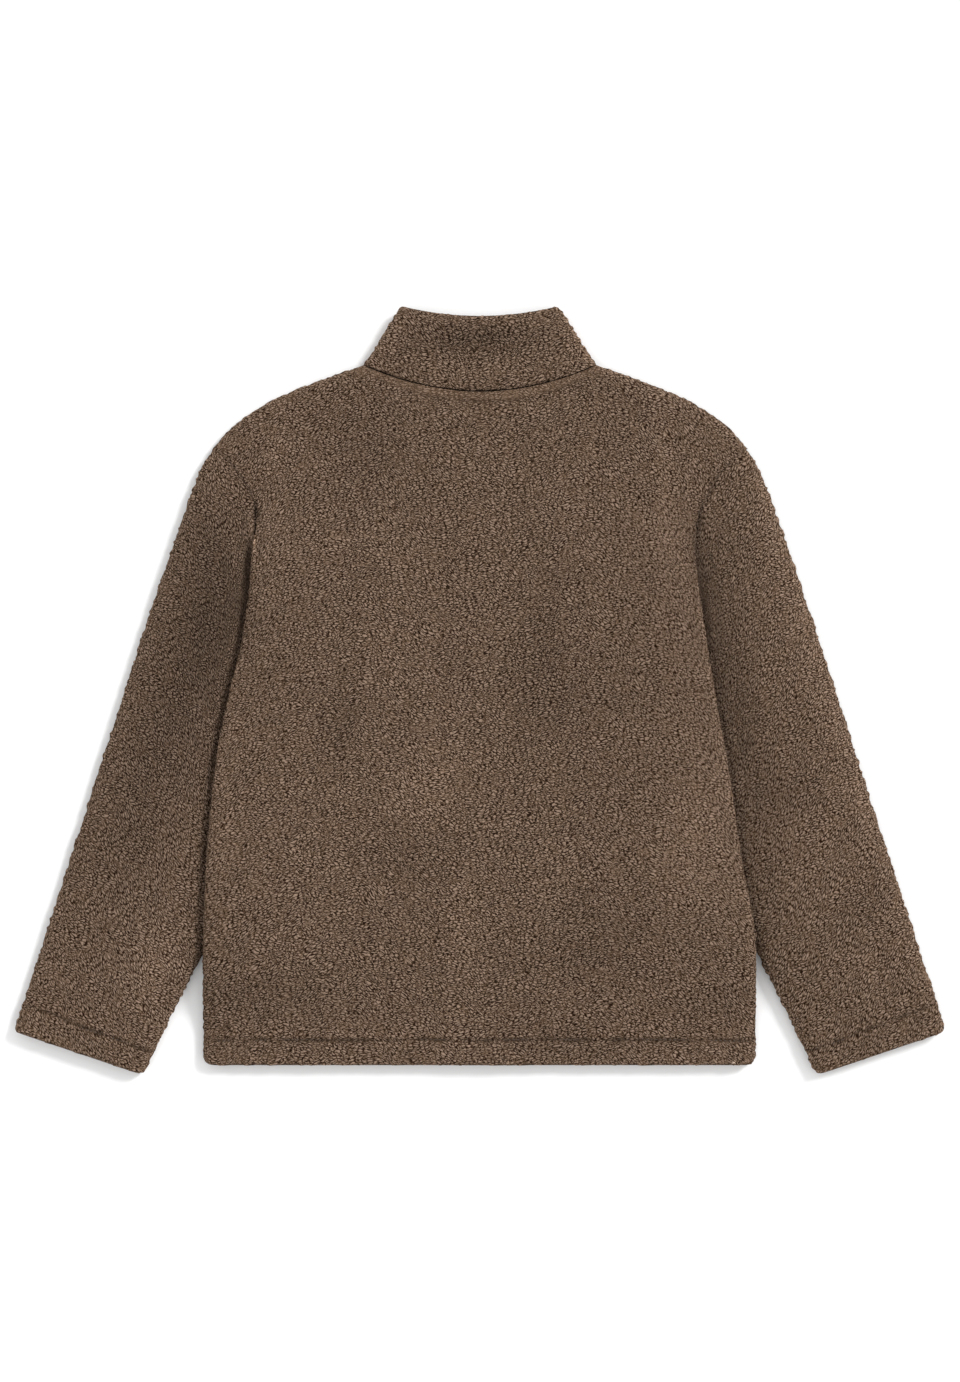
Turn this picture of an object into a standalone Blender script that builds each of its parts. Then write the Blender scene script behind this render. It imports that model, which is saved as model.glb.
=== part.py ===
"""A teddy jacket laid flat with its back up: the cloth walls that a maker cuts and sews, and the front zip.

Frame, in metres: +Z up, +Y towards the collar, +X to the right with the back seen from above. The origin lies
on the surface under the middle of the jacket. The wearer's left is at -X.

Each cloth piece is a wall over a flat patch. Its outer face carries the pile and its inner face lies one wall
further in. Where two layers are folded into each other, the patch edge falls to the middle of the stack.
"""

from collections import namedtuple

import bmesh
import bpy
import numpy as np

# Fleece with its pile, and two such walls laid on each other
WALL = 0.005
AIR = 0.0024
LAID = 2 * WALL + AIR
SEAM = 0.0003
SEAM_SIDE = 0.0005

# Hems at the waist and the cuffs, turned in and stitched through
HEM_DEPTH = 0.025
HEM_EXTRA, HEM_FADE = 0.001, 0.006
HEM_SWELL, HEM_SWELL_REACH = 0.0015, 0.012
HEM_ROUND = 0.0024
HEM_ROUND_REACH = 0.004
STITCH_DEPTH = 0.0012
STITCH_REACH = 0.003

# Soft edges: how far in from an edge the cloth starts to turn down
BODY_TURN = 0.025
SHOULDER_TURN = 0.014
SLEEVE_TURN = 0.015
COLLAR_TURN = 0.012
NECK_ROLL_IN, NECK_ROLL_OUT = 0.004, 0.010
CREASE = 0.0018
CREASE_REACH = 0.009

# Body outline
HEM_Y = -0.375
HEM_CORNER = 0.009
SHOULDER_X, SHOULDER_Y = 0.268, 0.242
NECK_X, NECK_Y = 0.117, 0.3255
BACK_NECK_Y = 0.299
FRONT_NECK_Y = 0.2635
FRONT_NECK_POWER = 2.4
SIDE_SEAM_TOP, ARMHOLE_LOW = 0.120, 0.195

# Collar outline, and its doubled wall
COLLAR_TOP_X, COLLAR_TOP_Y = 0.083, 0.3855
COLLAR_DIP_Y = 0.3745
COLLAR_FRONT_DIP_Y = 0.333
COLLAR_CORNER = 0.009
COLLAR_WALL = 0.007
COLLAR_AIR = 0.0015
COLLAR_SEAM_LEVEL = 0.0135
COLLAR_RISE = 0.25
COLLAR_SEAM = 0.0004

# Cuff corners, and how far the body is carried up by the sleeves under its sides
CUFF_OUT_X, CUFF_OUT_Y = 0.4675, -0.3410
CUFF_IN_X, CUFF_IN_Y = 0.3365, -0.3856
CUFF_CORNER = 0.007
CROWN = 0.0110
CROWN_CUFF, CROWN_ARMHOLE = 0.100, 0.060
UNDERARM_X, UNDERARM_Y = 0.185, 0.075
DIVE_Y = 0.118
UNDERARM_BEND, UNDERARM_BEND_Y = 0.42, 0.100
LIFT = LAID + 0.0008
LIFT_SLOPE, BACK_SLOPE = 0.070, 0.150
BACK_CROWN = 0.0030
BACK_CROWN_OUT, BACK_CROWN_IN, BACK_CROWN_RISE = 0.150, 0.030, 0.120
BACK_CROWN_TOP, BACK_CROWN_FULL = 0.270, 0.200
LIFT_FULL_BELOW, LIFT_NONE_ABOVE = 0.118, 0.200
LIFT_FULL_ABOVE, LIFT_NONE_BELOW = -0.280, -0.350

# Front closure
ZIP_HALF = 0.0083
ZIP_TURN = 0.002
ZIP_TURN_REACH, ZIP_TURN_FADE = 0.013, 0.006
ZIP_EDGE_STEPS = (0.0012, 0.004)
ZIP_EDGE_FALL, ZIP_EDGE_REACH = 0.0015, 0.003
ZIP_SWELL, ZIP_SWELL_OUT, ZIP_SWELL_IN = 0.0015, 0.050, 0.018
NECK_SWELL, NECK_SWELL_BELOW, NECK_SWELL_ABOVE = 0.0018, 0.030, 0.004

# Where the panels are cut between their edges: heights on the side, and distances in from side and neck
BODY_STEPS = [
    *(-0.333, -0.316, -0.298, -0.280, -0.258, -0.232),
    *(-0.190, -0.140, -0.090, -0.040, 0.010, 0.060, 0.100),
]
BODY_STEPS += [0.118, 0.136, 0.154, 0.171, 0.186, 0.199, 0.212, 0.222]
SIDE_STEPS = [0.044, 0.068, 0.095, 0.125]
NECK_STEPS = [0.088, 0.067, 0.047]
# The same for the sleeves and the collar, as shares from cuff to armhole and from neck seam to top edge
SLEEVE_FIRST, SLEEVE_ROWS, FOLD_SHARE = 0.075, 13, 0.08
COLLAR_SEAM_ROWS, COLLAR_ROWS = (0, 0.05, 0.12), (COLLAR_RISE, 0.595, 0.94)
COLLAR_TOP_ROWS = (0.945, 0.9835, 1.0)
BODY_LONG, SLEEVE_LONG = 0.660, 0.520

Edge = namedtuple("Edge", "y left right")
# Side of the body from the hem up, then the armhole seam to the shoulder point, from the centre line
BODY_EDGE = [
    Edge(HEM_Y, 0.2775, 0.2765),
    Edge(-0.264, 0.2770, 0.2760),
    Edge(-0.159, 0.2730, 0.2600),
    Edge(-0.069, 0.2640, 0.2470),
    Edge(-0.009, 0.2520, 0.2360),
    Edge(0.051, 0.2380, 0.2260),
    Edge(0.100, 0.2310, 0.2190),
    Edge(0.140, 0.2280, 0.2150),
    Edge(0.175, 0.2240, 0.2180),
    Edge(0.194, 0.2280, 0.2270),
    Edge(0.212, 0.2380, 0.2370),
    Edge(0.228, 0.2510, 0.2510),
    Edge(SHOULDER_Y, SHOULDER_X, SHOULDER_X),
]

Point = namedtuple("Point", "x y")
# Shoulder seam from the neck to the shoulder point
SHOULDER = [
    Point(NECK_X, NECK_Y),
    Point(0.140, 0.3180),
    Point(0.161, 0.3105),
    Point(0.185, 0.3010),
    Point(0.209, 0.2905),
    Point(0.226, 0.2805),
    Point(0.240, 0.2705),
    Point(0.256, 0.2560),
    Point(SHOULDER_X, SHOULDER_Y),
]
# Outer edge of a sleeve, from the shoulder point to the cuff
SLEEVE_OUTER = [
    Point(SHOULDER_X, SHOULDER_Y),
    Point(0.277, 0.2300),
    Point(0.2855, 0.2110),
    Point(0.300, 0.1710),
    Point(0.3275, 0.0910),
    Point(0.392, -0.1090),
    Point(0.4424, -0.2644),
    Point(CUFF_OUT_X, CUFF_OUT_Y),
]
# Underarm edge of a sleeve, which lies under the body above the point where it leaves it
SLEEVE_INNER = [
    Point(UNDERARM_X, UNDERARM_Y),
    Point(0.189, 0.0300),
    Point(0.199, -0.0300),
    Point(0.212, -0.0900),
    Point(0.229, -0.1500),
    Point(0.250, -0.2050),
    Point(0.277, -0.2640),
    Point(0.302, -0.3130),
    Point(CUFF_IN_X, CUFF_IN_Y),
]

Fold = namedtuple("Fold", "x y length width turn height")
# Soft ridges and troughs of the upper layer: middle, half length, half width, degrees from +X, height
BODY_FOLDS = [
    Fold(0.090, 0.020, 0.075, 0.026, 84, 0.0026),
    Fold(-0.118, 0.005, 0.060, 0.022, 78, 0.0020),
    Fold(-0.080, 0.245, 0.045, 0.020, 35, 0.0018),
    Fold(-0.072, -0.105, 0.060, 0.028, 40, 0.0026),
    Fold(0.105, -0.215, 0.060, 0.026, 30, 0.0026),
    Fold(0.178, -0.175, 0.075, 0.030, 75, 0.0024),
    Fold(-0.190, -0.280, 0.070, 0.022, 8, 0.0020),
    Fold(-0.038, -0.255, 0.070, 0.018, 88, 0.0018),
    Fold(0.215, -0.300, 0.050, 0.020, 160, 0.0018),
    Fold(0.060, 0.190, 0.080, 0.030, 115, 0.0014),
    Fold(0.020, -0.020, 0.090, 0.022, 92, -0.0014),
]
SLEEVE_FOLDS = {
    -1: [
        Fold(-0.292, -0.020, 0.070, 0.022, 70, -0.0022),
        Fold(-0.330, -0.130, 0.060, 0.020, 20, 0.0022),
        Fold(-0.352, -0.205, 0.060, 0.018, 160, -0.0014),
        Fold(-0.345, -0.280, 0.050, 0.022, 55, 0.0020),
    ],
    1: [
        Fold(0.318, 0.010, 0.070, 0.024, 110, 0.0020),
        Fold(0.335, -0.095, 0.050, 0.018, 150, 0.0022),
        Fold(0.330, -0.165, 0.050, 0.020, 110, 0.0022),
        Fold(0.405, -0.195, 0.060, 0.020, 30, 0.0018),
        Fold(0.362, -0.285, 0.050, 0.022, 120, 0.0016),
    ],
}
COLLAR_FOLDS = [
    Fold(0.000, 0.3655, 0.058, 0.0095, 0, 0.0022),
    Fold(-0.016, 0.3460, 0.045, 0.0130, 4, -0.0011),
]

# Zip, seen in section: tape, chain, slider wings, and the bridge that holds the pull
TAPE_HALF = ZIP_HALF - 0.0006
TAPE_LOW, TAPE_HIGH = 0.0057, 0.0066
CHAIN_HALF, CHAIN_LOW = 0.0028, 0.0042
ZIP_BOTTOM_Y = HEM_Y + 0.003
ZIP_TOP_Y = COLLAR_FRONT_DIP_Y - 0.006
SLIDER_HALF, SLIDER_LONG = 0.0043, 0.0125
SLIDER_TOP_Y = ZIP_TOP_Y + 0.0030
WING_LOW, WING_HIGH = 0.0029, 0.0038
FLANGE_IN, FLANGE_HIGH = 0.0031, 0.0054
BACK_WING_LOW, BACK_WING_HIGH = 0.0069, 0.0077
POST_HALF = 0.0012
BRIDGE_HALF, BRIDGE_LOW, BRIDGE_HIGH = 0.0010, 0.0006, 0.0013
BRIDGE_LONG, BRIDGE_LEG = 0.0080, 0.0010
PIVOT_Y, PIVOT_Z = SLIDER_TOP_Y - 0.0065, 0.0021
PIN_HALF = 0.0005
PULL_HALF, PULL_LONG = 0.0030, 0.0260
PULL_THICK, PULL_CORNER = 0.0010, 0.0018
EYE_HALF, EYE_NEAR, EYE_FAR = 0.00145, 0.0005, 0.0054


def smooth_curve(rows, at, value):
    """A function through the rows of a table, without overshoot between them."""
    table = np.array(sorted((getattr(row, at), getattr(row, value)) for row in rows))
    places, values = table[:, 0], table[:, 1]
    steps = np.diff(places)
    slopes = np.diff(values) / steps
    tangents = np.zeros(len(values))
    tangents[0], tangents[-1] = slopes[0], slopes[-1]
    same_way = slopes[:-1] * slopes[1:] > 0
    tangents[1:-1][same_way] = 2 / (1 / slopes[:-1][same_way] + 1 / slopes[1:][same_way])

    def value_at(place):
        place = np.clip(place, places[0], places[-1])
        i = np.clip(np.searchsorted(places, place) - 1, 0, len(steps) - 1)
        u = (place - places[i]) / steps[i]
        rise = values[i + 1] - values[i]
        start, end = tangents[i] * steps[i], tangents[i + 1] * steps[i]
        return values[i] + u * (start + u * ((3 * rise - 2 * start - end) + u * (start + end - 2 * rise)))

    return value_at


body_left = smooth_curve(BODY_EDGE, "y", "left")
body_right = smooth_curve(BODY_EDGE, "y", "right")
shoulder_y = smooth_curve(SHOULDER, "x", "y")
sleeve_outer_x = smooth_curve(SLEEVE_OUTER, "y", "x")
sleeve_inner_x = smooth_curve(SLEEVE_INNER, "y", "x")


def mix(a, b, share):
    return a + (b - a) * share


def ramp(value, start, end):
    """0 up to start, 1 from end, and smooth between them. It falls where end lies below start."""
    share = np.clip((value - start) / (end - start), 0, 1)
    return share * share * (3 - 2 * share)


def fall(distance, reach):
    """How far a soft edge has turned down: 1 at the edge and 0 from reach inwards, along an ellipse."""
    inward = np.clip(distance / reach, 0, 1)
    return 1 - np.sqrt(1 - (1 - inward) ** 2)


def folds_height(folds, x, y):
    """Height of the soft folds at a point."""
    height = np.zeros(np.broadcast(x, y).shape)
    for fold in folds:
        turn = np.radians(fold.turn)
        along = (x - fold.x) * np.cos(turn) + (y - fold.y) * np.sin(turn)
        across = (y - fold.y) * np.cos(turn) - (x - fold.x) * np.sin(turn)
        height = height + fold.height * np.exp(-((along / fold.length) ** 2) - (across / fold.width) ** 2)
    return height


def patch(hem, top, low_side, high_side):
    """A flat patch between four edge curves, each a function of 0 to 1 that gives x and y."""

    def place(s, t):
        corners = [
            (1 - s) * (1 - t) * hem(0.0)[k]
            + s * (1 - t) * hem(1.0)[k]
            + (1 - s) * t * top(0.0)[k]
            + s * t * top(1.0)[k]
            for k in (0, 1)
        ]
        return tuple(
            mix(hem(s)[k], top(s)[k], t) + mix(low_side(t)[k], high_side(t)[k], s) - corners[k]
            for k in (0, 1)
        )

    return place


def back_neck_y(x):
    return BACK_NECK_Y + (NECK_Y - BACK_NECK_Y) * (x / NECK_X) ** 2


def front_neck_y(x):
    return FRONT_NECK_Y + (NECK_Y - FRONT_NECK_Y) * np.abs(x / NECK_X) ** FRONT_NECK_POWER


def body_top(neck_y):
    """Upper edge of a body panel: shoulder seam, neckline, shoulder seam."""

    def y_at(x):
        return np.where(np.abs(x) < NECK_X, neck_y(np.clip(x, -NECK_X, NECK_X)), shoulder_y(np.abs(x)))

    return y_at


def body_side(sign):
    """Side seam and armhole of the body on one side, from hem to shoulder point."""
    edge = body_left if sign < 0 else body_right

    def place(t):
        y = mix(HEM_Y + HEM_CORNER, SHOULDER_Y, t)
        return sign * edge(y), y

    return place


def hem_y(x):
    """Waist hem, rounded at its two corners."""
    half = np.where(x < 0, BODY_EDGE[0].left, BODY_EDGE[0].right)
    return HEM_Y + HEM_CORNER * fall(half - np.abs(x), HEM_CORNER)


def body_patch(x_low, x_high, side_low, side_high, neck_y):
    """Patch of a body panel. x_low and x_high are its ends at the hem and at the top edge."""
    top_y = body_top(neck_y)

    def hem(s):
        x = mix(x_low[0], x_high[0], s)
        return x, hem_y(x)

    def top(s):
        x = mix(x_low[1], x_high[1], s)
        return x, top_y(x)

    return patch(hem, top, side_low, side_high)


def half_patch(sign, inner_x, neck_y):
    """Patch of half a body, with s from its side to inner_x."""
    hem_half = BODY_EDGE[0].left if sign < 0 else BODY_EDGE[0].right
    middle_x, middle_top = sign * inner_x, float(neck_y(inner_x))
    return body_patch(
        (sign * hem_half, sign * SHOULDER_X),
        (middle_x, middle_x),
        body_side(sign),
        lambda t: (middle_x, mix(HEM_Y, middle_top, t)),
        neck_y,
    )


def back_patch(s, t):
    """The whole back, from its left side at s = 0 over the centre line at 0.5 to its right side."""
    left = half_patch(-1, 0.0, back_neck_y)(2 * s, t)
    right = half_patch(1, 0.0, back_neck_y)(2 - 2 * s, t)
    return tuple(np.where(np.asarray(s) < 0.5, a, b) for a, b in zip(left, right))


def lift(x, y, slope=LIFT_SLOPE):
    """Height of the body's underside, which lies on the sleeves along its sides."""
    inner = sleeve_inner_x(y)
    across = ramp(np.abs(x), inner - slope, inner - 0.003)
    along = ramp(y, LIFT_NONE_ABOVE, LIFT_FULL_BELOW) * ramp(y, LIFT_NONE_BELOW, LIFT_FULL_ABOVE)
    return LIFT * across * along


def body_top_level(x, y):
    """Height of the back's outer face before its edges turn down, with slopes wider than the fronts have."""
    crown = BACK_CROWN * ramp(np.abs(x), BACK_CROWN_OUT, BACK_CROWN_IN)
    crown = crown * ramp(y, HEM_Y, HEM_Y + BACK_CROWN_RISE) * ramp(y, BACK_CROWN_TOP, BACK_CROWN_FULL)
    above_neck = y - front_neck_y(np.clip(x, -NECK_X, NECK_X))
    over_collar = NECK_SWELL * ramp(above_neck, -NECK_SWELL_BELOW, -NECK_SWELL_ABOVE)
    over_zip = ZIP_SWELL * ramp(np.abs(x), ZIP_SWELL_OUT, ZIP_SWELL_IN)
    over_hem = HEM_SWELL * ramp(y - HEM_Y, HEM_DEPTH + HEM_SWELL_REACH, HEM_DEPTH)
    swell = np.maximum(np.maximum(crown, over_zip), over_collar)
    return lift(x, y, BACK_SLOPE) + LAID + swell + over_hem + folds_height(BODY_FOLDS, x, y)


def hem_wall(distance):
    """Wall near a hem, where the cloth is doubled and pressed."""
    return WALL + HEM_EXTRA * ramp(distance, HEM_DEPTH + HEM_FADE, HEM_DEPTH)


def hem_relief(distance):
    """(fall of the outer face, fall of the inner face) near a hem: its rounded fold and line of stitches."""
    rounded = HEM_ROUND * fall(distance, HEM_ROUND_REACH)
    stitched = STITCH_DEPTH * np.exp(-(((distance - HEM_DEPTH) / STITCH_REACH) ** 2))
    return rounded + stitched, rounded


def body_panel(place, s, t, side_edges, upper, zip_edge=None):
    """(outer, inner) points of a body panel. side_edges are the values of s that are side seams."""
    x, y = place(s, t)
    width = np.hypot(*np.subtract(place(1.0, t), place(0.0, t)))
    length = np.hypot(*np.subtract(place(s, 1.0), place(s, 0.0)))
    from_top, from_hem = (1 - t) * length, t * length
    rolled_side = ramp(y, ARMHOLE_LOW, SIDE_SEAM_TOP)
    rolled_top = ramp(np.abs(x), NECK_X - NECK_ROLL_IN, NECK_X + NECK_ROLL_OUT)
    from_sides = {edge: np.abs(s - edge) * width for edge in side_edges}
    nearest_side = np.minimum.reduce(list(from_sides.values()))
    turned_side, turned_top = fall(nearest_side, BODY_TURN), fall(from_top, SHOULDER_TURN)
    turned = np.maximum(rolled_side * turned_side, rolled_top * turned_top)
    creased_side, creased_top = fall(nearest_side, CREASE_REACH), fall(from_top, CREASE_REACH)
    creased = np.maximum((1 - rolled_side) * creased_side, (1 - rolled_top) * creased_top)
    wall = hem_wall(from_hem)
    outer_fall, inner_fall = hem_relief(from_hem)
    if zip_edge is not None:
        from_zip = np.abs(s - zip_edge) * width
        wall = wall + ZIP_TURN * ramp(from_zip, ZIP_TURN_REACH + ZIP_TURN_FADE, ZIP_TURN_REACH)
        zip_fall = ZIP_EDGE_FALL * fall(from_zip, ZIP_EDGE_REACH)
        outer_fall = np.maximum(outer_fall, zip_fall)
        inner_fall = np.maximum(inner_fall, zip_fall)

    low, high = lift(x, y), body_top_level(x, y)
    half = (high - low) / 2 - SEAM / 2
    outer_drop = turned * half + (1 - turned) * (outer_fall + CREASE * creased)
    inner_drop = wall + turned * (half - wall) - (1 - turned) * inner_fall
    inset_s = sum(
        rolled_side * wall * np.clip(1 - away / BODY_TURN, 0, 1) / width * (1 if edge == 0 else -1)
        for edge, away in from_sides.items()
    )
    inset_t = rolled_top * wall * np.clip(1 - from_top / SHOULDER_TURN, 0, 1) / length
    inner_x, inner_y = place(s + inset_s, t - inset_t)
    face, way = (high, -1) if upper else (low, 1)
    outer = np.stack([x, y, face + way * outer_drop], axis=-1)
    inner = np.stack([inner_x, inner_y, face + way * inner_drop], axis=-1)
    return outer, inner


def sleeve_patch(sign):
    """Patch of a sleeve laid flat, from cuff to armhole, with s from its outer edge to its underarm edge."""
    edge = body_left if sign < 0 else body_right
    cuff_long = np.hypot(CUFF_OUT_X - CUFF_IN_X, CUFF_OUT_Y - CUFF_IN_Y)
    up_x, up_y = (CUFF_IN_Y - CUFF_OUT_Y) / cuff_long, (CUFF_OUT_X - CUFF_IN_X) / cuff_long
    beside_body = [Point(edge(y) + SEAM_SIDE, y) for y in np.linspace(SHOULDER_Y, DIVE_Y, 14)]
    bend = Point(mix(edge(DIVE_Y), UNDERARM_X, UNDERARM_BEND), UNDERARM_BEND_Y)
    armhole = smooth_curve([*beside_body, bend, Point(UNDERARM_X, UNDERARM_Y)], "y", "x")

    def cuff(s):
        rounded = CUFF_CORNER * fall(np.minimum(s, 1 - s) * cuff_long, CUFF_CORNER)
        x = mix(CUFF_OUT_X, CUFF_IN_X, s) + rounded * up_x
        return sign * x, mix(CUFF_OUT_Y, CUFF_IN_Y, s) + rounded * up_y

    def top(s):
        y = mix(SHOULDER_Y, UNDERARM_Y, s)
        return sign * armhole(y), y

    def outer(t):
        y = mix(cuff(0.0)[1], SHOULDER_Y, t)
        return sign * (sleeve_outer_x(y) + SEAM_SIDE * t), y

    def inner(t):
        y = mix(cuff(1.0)[1], UNDERARM_Y, t)
        return sign * sleeve_inner_x(y), y

    return patch(cuff, top, outer, inner)


def sleeve_crown(sign, x, y):
    """How far the part of a sleeve beside the body stands up between its two edges."""
    edge = body_left if sign < 0 else body_right
    inner = np.maximum(sleeve_inner_x(y), np.where(y > HEM_Y + HEM_CORNER, edge(y), 0))
    width = np.maximum(sleeve_outer_x(y) - inner, SEAM)
    share = np.clip((np.abs(x) - inner) / width, 0, 1)
    return CROWN * 4 * share * (1 - share)


def sleeve_layer(sign, s, t, upper):
    """(outer, inner) points of a sleeve's upper or lower layer. The layers meet at the two folded edges."""
    place = sleeve_patch(sign)
    x, y = place(s, t)
    width = np.hypot(*np.subtract(place(1.0, t), place(0.0, t)))
    length = np.hypot(*np.subtract(place(s, 1.0), place(s, 0.0)))
    from_side, from_cuff = np.minimum(s, 1 - s) * width, t * length
    turned = fall(from_side, SLEEVE_TURN)
    wall = hem_wall(from_cuff)
    outer_fall, inner_fall = hem_relief(from_cuff)
    over_hem = HEM_SWELL * ramp(from_cuff, HEM_DEPTH + HEM_SWELL_REACH, HEM_DEPTH)
    crown_ends = ramp(from_cuff, 0, CROWN_CUFF) * ramp((1 - t) * length, 0, CROWN_ARMHOLE)
    crown = sleeve_crown(sign, x, y) * crown_ends
    high = LAID + folds_height(SLEEVE_FOLDS[sign], x, y) + over_hem + crown
    half = high / 2
    creased = CREASE * fall((1 - t) * length, CREASE_REACH) if upper else 0.0
    outer_drop = turned * half + (1 - turned) * (outer_fall + creased)
    inner_drop = wall + turned * (half - wall) - (1 - turned) * inner_fall
    inset = wall * np.clip(1 - from_side / SLEEVE_TURN, 0, 1) / width
    inner_x, inner_y = place(s + np.where(s < 0.5, inset, -inset), t)
    face, way = (high, -1) if upper else (0.0, 1)
    outer = np.stack([x, y, face + way * outer_drop], axis=-1)
    inner = np.stack([inner_x, inner_y, face + way * inner_drop], axis=-1)
    return outer, inner


def collar_patch(neck_y, dip_y):
    """Patch of one layer of the collar, from the neck seam to its top edge."""
    top_corner_y = COLLAR_TOP_Y - COLLAR_CORNER

    def seam(s):
        x = mix(-NECK_X, NECK_X, s)
        return x, neck_y(x) + COLLAR_SEAM

    def top(s):
        x = mix(-COLLAR_TOP_X, COLLAR_TOP_X, s)
        dipped = mix(dip_y, COLLAR_TOP_Y, (x / COLLAR_TOP_X) ** 2)
        return x, dipped - COLLAR_CORNER * fall(COLLAR_TOP_X - np.abs(x), COLLAR_CORNER)

    def side(sign):
        return lambda t: (sign * mix(NECK_X, COLLAR_TOP_X, t), mix(NECK_Y + COLLAR_SEAM, top_corner_y, t))

    return patch(seam, top, side(-1), side(1))


def collar_layer(s, t, upper):
    """(outer, inner) points of the collar's back (upper) or front (lower) layer."""
    neck_y, dip_y = (back_neck_y, COLLAR_DIP_Y) if upper else (front_neck_y, COLLAR_FRONT_DIP_Y)
    place = collar_patch(neck_y, dip_y)
    x, y = place(s, t)
    width = np.hypot(*np.subtract(place(1.0, t), place(0.0, t)))
    length = np.hypot(*np.subtract(place(s, 1.0), place(s, 0.0)))
    from_side, from_top, from_seam = np.minimum(s, 1 - s) * width, (1 - t) * length, t * length
    turned = fall(from_side, COLLAR_TURN)
    risen = ramp(t, 0.0, COLLAR_RISE)
    wall = mix(WALL, COLLAR_WALL, risen)
    high = mix(COLLAR_SEAM_LEVEL, 2 * COLLAR_WALL + COLLAR_AIR, risen)
    if upper:
        high = high + folds_height(COLLAR_FOLDS, x, y)
    half = high / 2
    rounded = HEM_ROUND * fall(from_top, HEM_ROUND_REACH)
    creased = CREASE * fall(from_seam, CREASE_REACH) if upper else 0.0
    outer_drop = turned * half + (1 - turned) * (rounded + creased)
    inner_drop = wall + turned * (half - wall) - (1 - turned) * rounded
    inset = wall * np.clip(1 - from_side / COLLAR_TURN, 0, 1) / width
    inner_x, inner_y = place(s + np.where(s < 0.5, inset, -inset), t)
    face, way = (high, -1) if upper else (0.0, 1)
    outer = np.stack([x, y, face + way * outer_drop], axis=-1)
    inner = np.stack([inner_x, inner_y, face + way * inner_drop], axis=-1)
    return outer, inner


def turn_marks(reach, count):
    """Distances in from a soft edge that cut it into count steps, closest where it turns most."""
    return reach * (1 - np.cos(np.linspace(0, np.pi / 2, count + 1)))


def hem_marks():
    """Distances in from a hem for its rounded fold and its line of stitches."""
    fold = HEM_ROUND_REACH * np.array([0, 0.3, 1.0])
    line = HEM_DEPTH + STITCH_REACH * np.array([-1, 0, 1])
    return np.concatenate([fold, line])


def joined(*runs):
    """Sample positions joined in order, without repeats."""
    return np.unique(np.round(np.concatenate(runs), 7))


# Pieces that meet are cut at the same places, so that their seams match point for point

def neck_marks():
    """Distances from the centre line where the neckline is cut, from the collar's side inwards."""
    return np.concatenate([NECK_X - turn_marks(COLLAR_TURN, 3), NECK_STEPS])


def side_marks():
    """Distances from the centre line, along the shoulders, between the side of the body and its neckline."""
    return SHOULDER_X - np.concatenate([turn_marks(BODY_TURN, 3), SIDE_STEPS])


def side_rows():
    """Heights at which the side of the body is cut, from the hem to the shoulder point."""
    tall, span = SHOULDER_Y - HEM_Y - HEM_CORNER, BODY_LONG
    hem = HEM_Y + HEM_CORNER + hem_marks() * tall / span
    top = SHOULDER_Y - turn_marks(SHOULDER_TURN, 3) * tall / span
    return joined(hem, BODY_STEPS, top)


def wall_faces(rows, columns, ring):
    """Quads of a closed wall whose outer points come first and whose inner points follow, row by row."""
    step = rows * columns
    last = columns if ring else columns - 1
    faces = []
    for i in range(rows - 1):
        for j in range(last):
            a, b = i * columns + j, i * columns + (j + 1) % columns
            c, d = b + columns, a + columns
            faces.append((a, b, c, d))
            faces.append((d + step, c + step, b + step, a + step))
    for j in range(last):
        a, b = j, (j + 1) % columns
        faces.append((b, a, a + step, b + step))
        a, b = a + (rows - 1) * columns, b + (rows - 1) * columns
        faces.append((a, b, b + step, a + step))
    if not ring:
        for i in range(rows - 1):
            a, b = i * columns, (i + 1) * columns
            faces.append((a, b, b + step, a + step))
            a, b = a + columns - 1, b + columns - 1
            faces.append((b, a, a + step, b + step))
    return faces


def material(name, colour, roughness, metallic=0.0):
    made = bpy.data.materials.new(name)
    made.use_nodes = True
    shader = made.node_tree.nodes["Principled BSDF"]
    shader.inputs["Base Color"].default_value = (*colour, 1.0)
    shader.inputs["Roughness"].default_value = roughness
    shader.inputs["Metallic"].default_value = metallic
    return made


def add_object(name, points, faces, finish):
    """One closed body from points and faces, with its faces turned outwards."""
    mesh = bpy.data.meshes.new(name)
    mesh.from_pydata([tuple(map(float, p)) for p in points], [], faces)
    body = bmesh.new()
    body.from_mesh(mesh)
    bmesh.ops.recalc_face_normals(body, faces=body.faces)
    body.to_mesh(mesh)
    body.free()
    mesh.shade_smooth()
    mesh.set_sharp_from_angle(angle=np.radians(40))
    mesh.materials.append(finish)
    made = bpy.data.objects.new(name, mesh)
    bpy.context.scene.collection.objects.link(made)
    return made


def add_wall(name, outer, inner, ring, finish):
    rows, columns = outer.shape[:2]
    points = np.concatenate([outer.reshape(-1, 3), inner.reshape(-1, 3)])
    return add_object(name, points, wall_faces(rows, columns, ring), finish)


def body_rows():
    return (side_rows() - HEM_Y - HEM_CORNER) / (SHOULDER_Y - HEM_Y - HEM_CORNER)


def make_back(fleece):
    half = 0.5 - np.concatenate([side_marks(), neck_marks(), [0]]) / (2 * SHOULDER_X)
    columns = joined(half, 1 - half)
    outer, inner = body_panel(back_patch, *np.meshgrid(columns, body_rows()), side_edges=(0, 1), upper=True)
    return add_wall("back", outer, inner, False, fleece)


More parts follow.
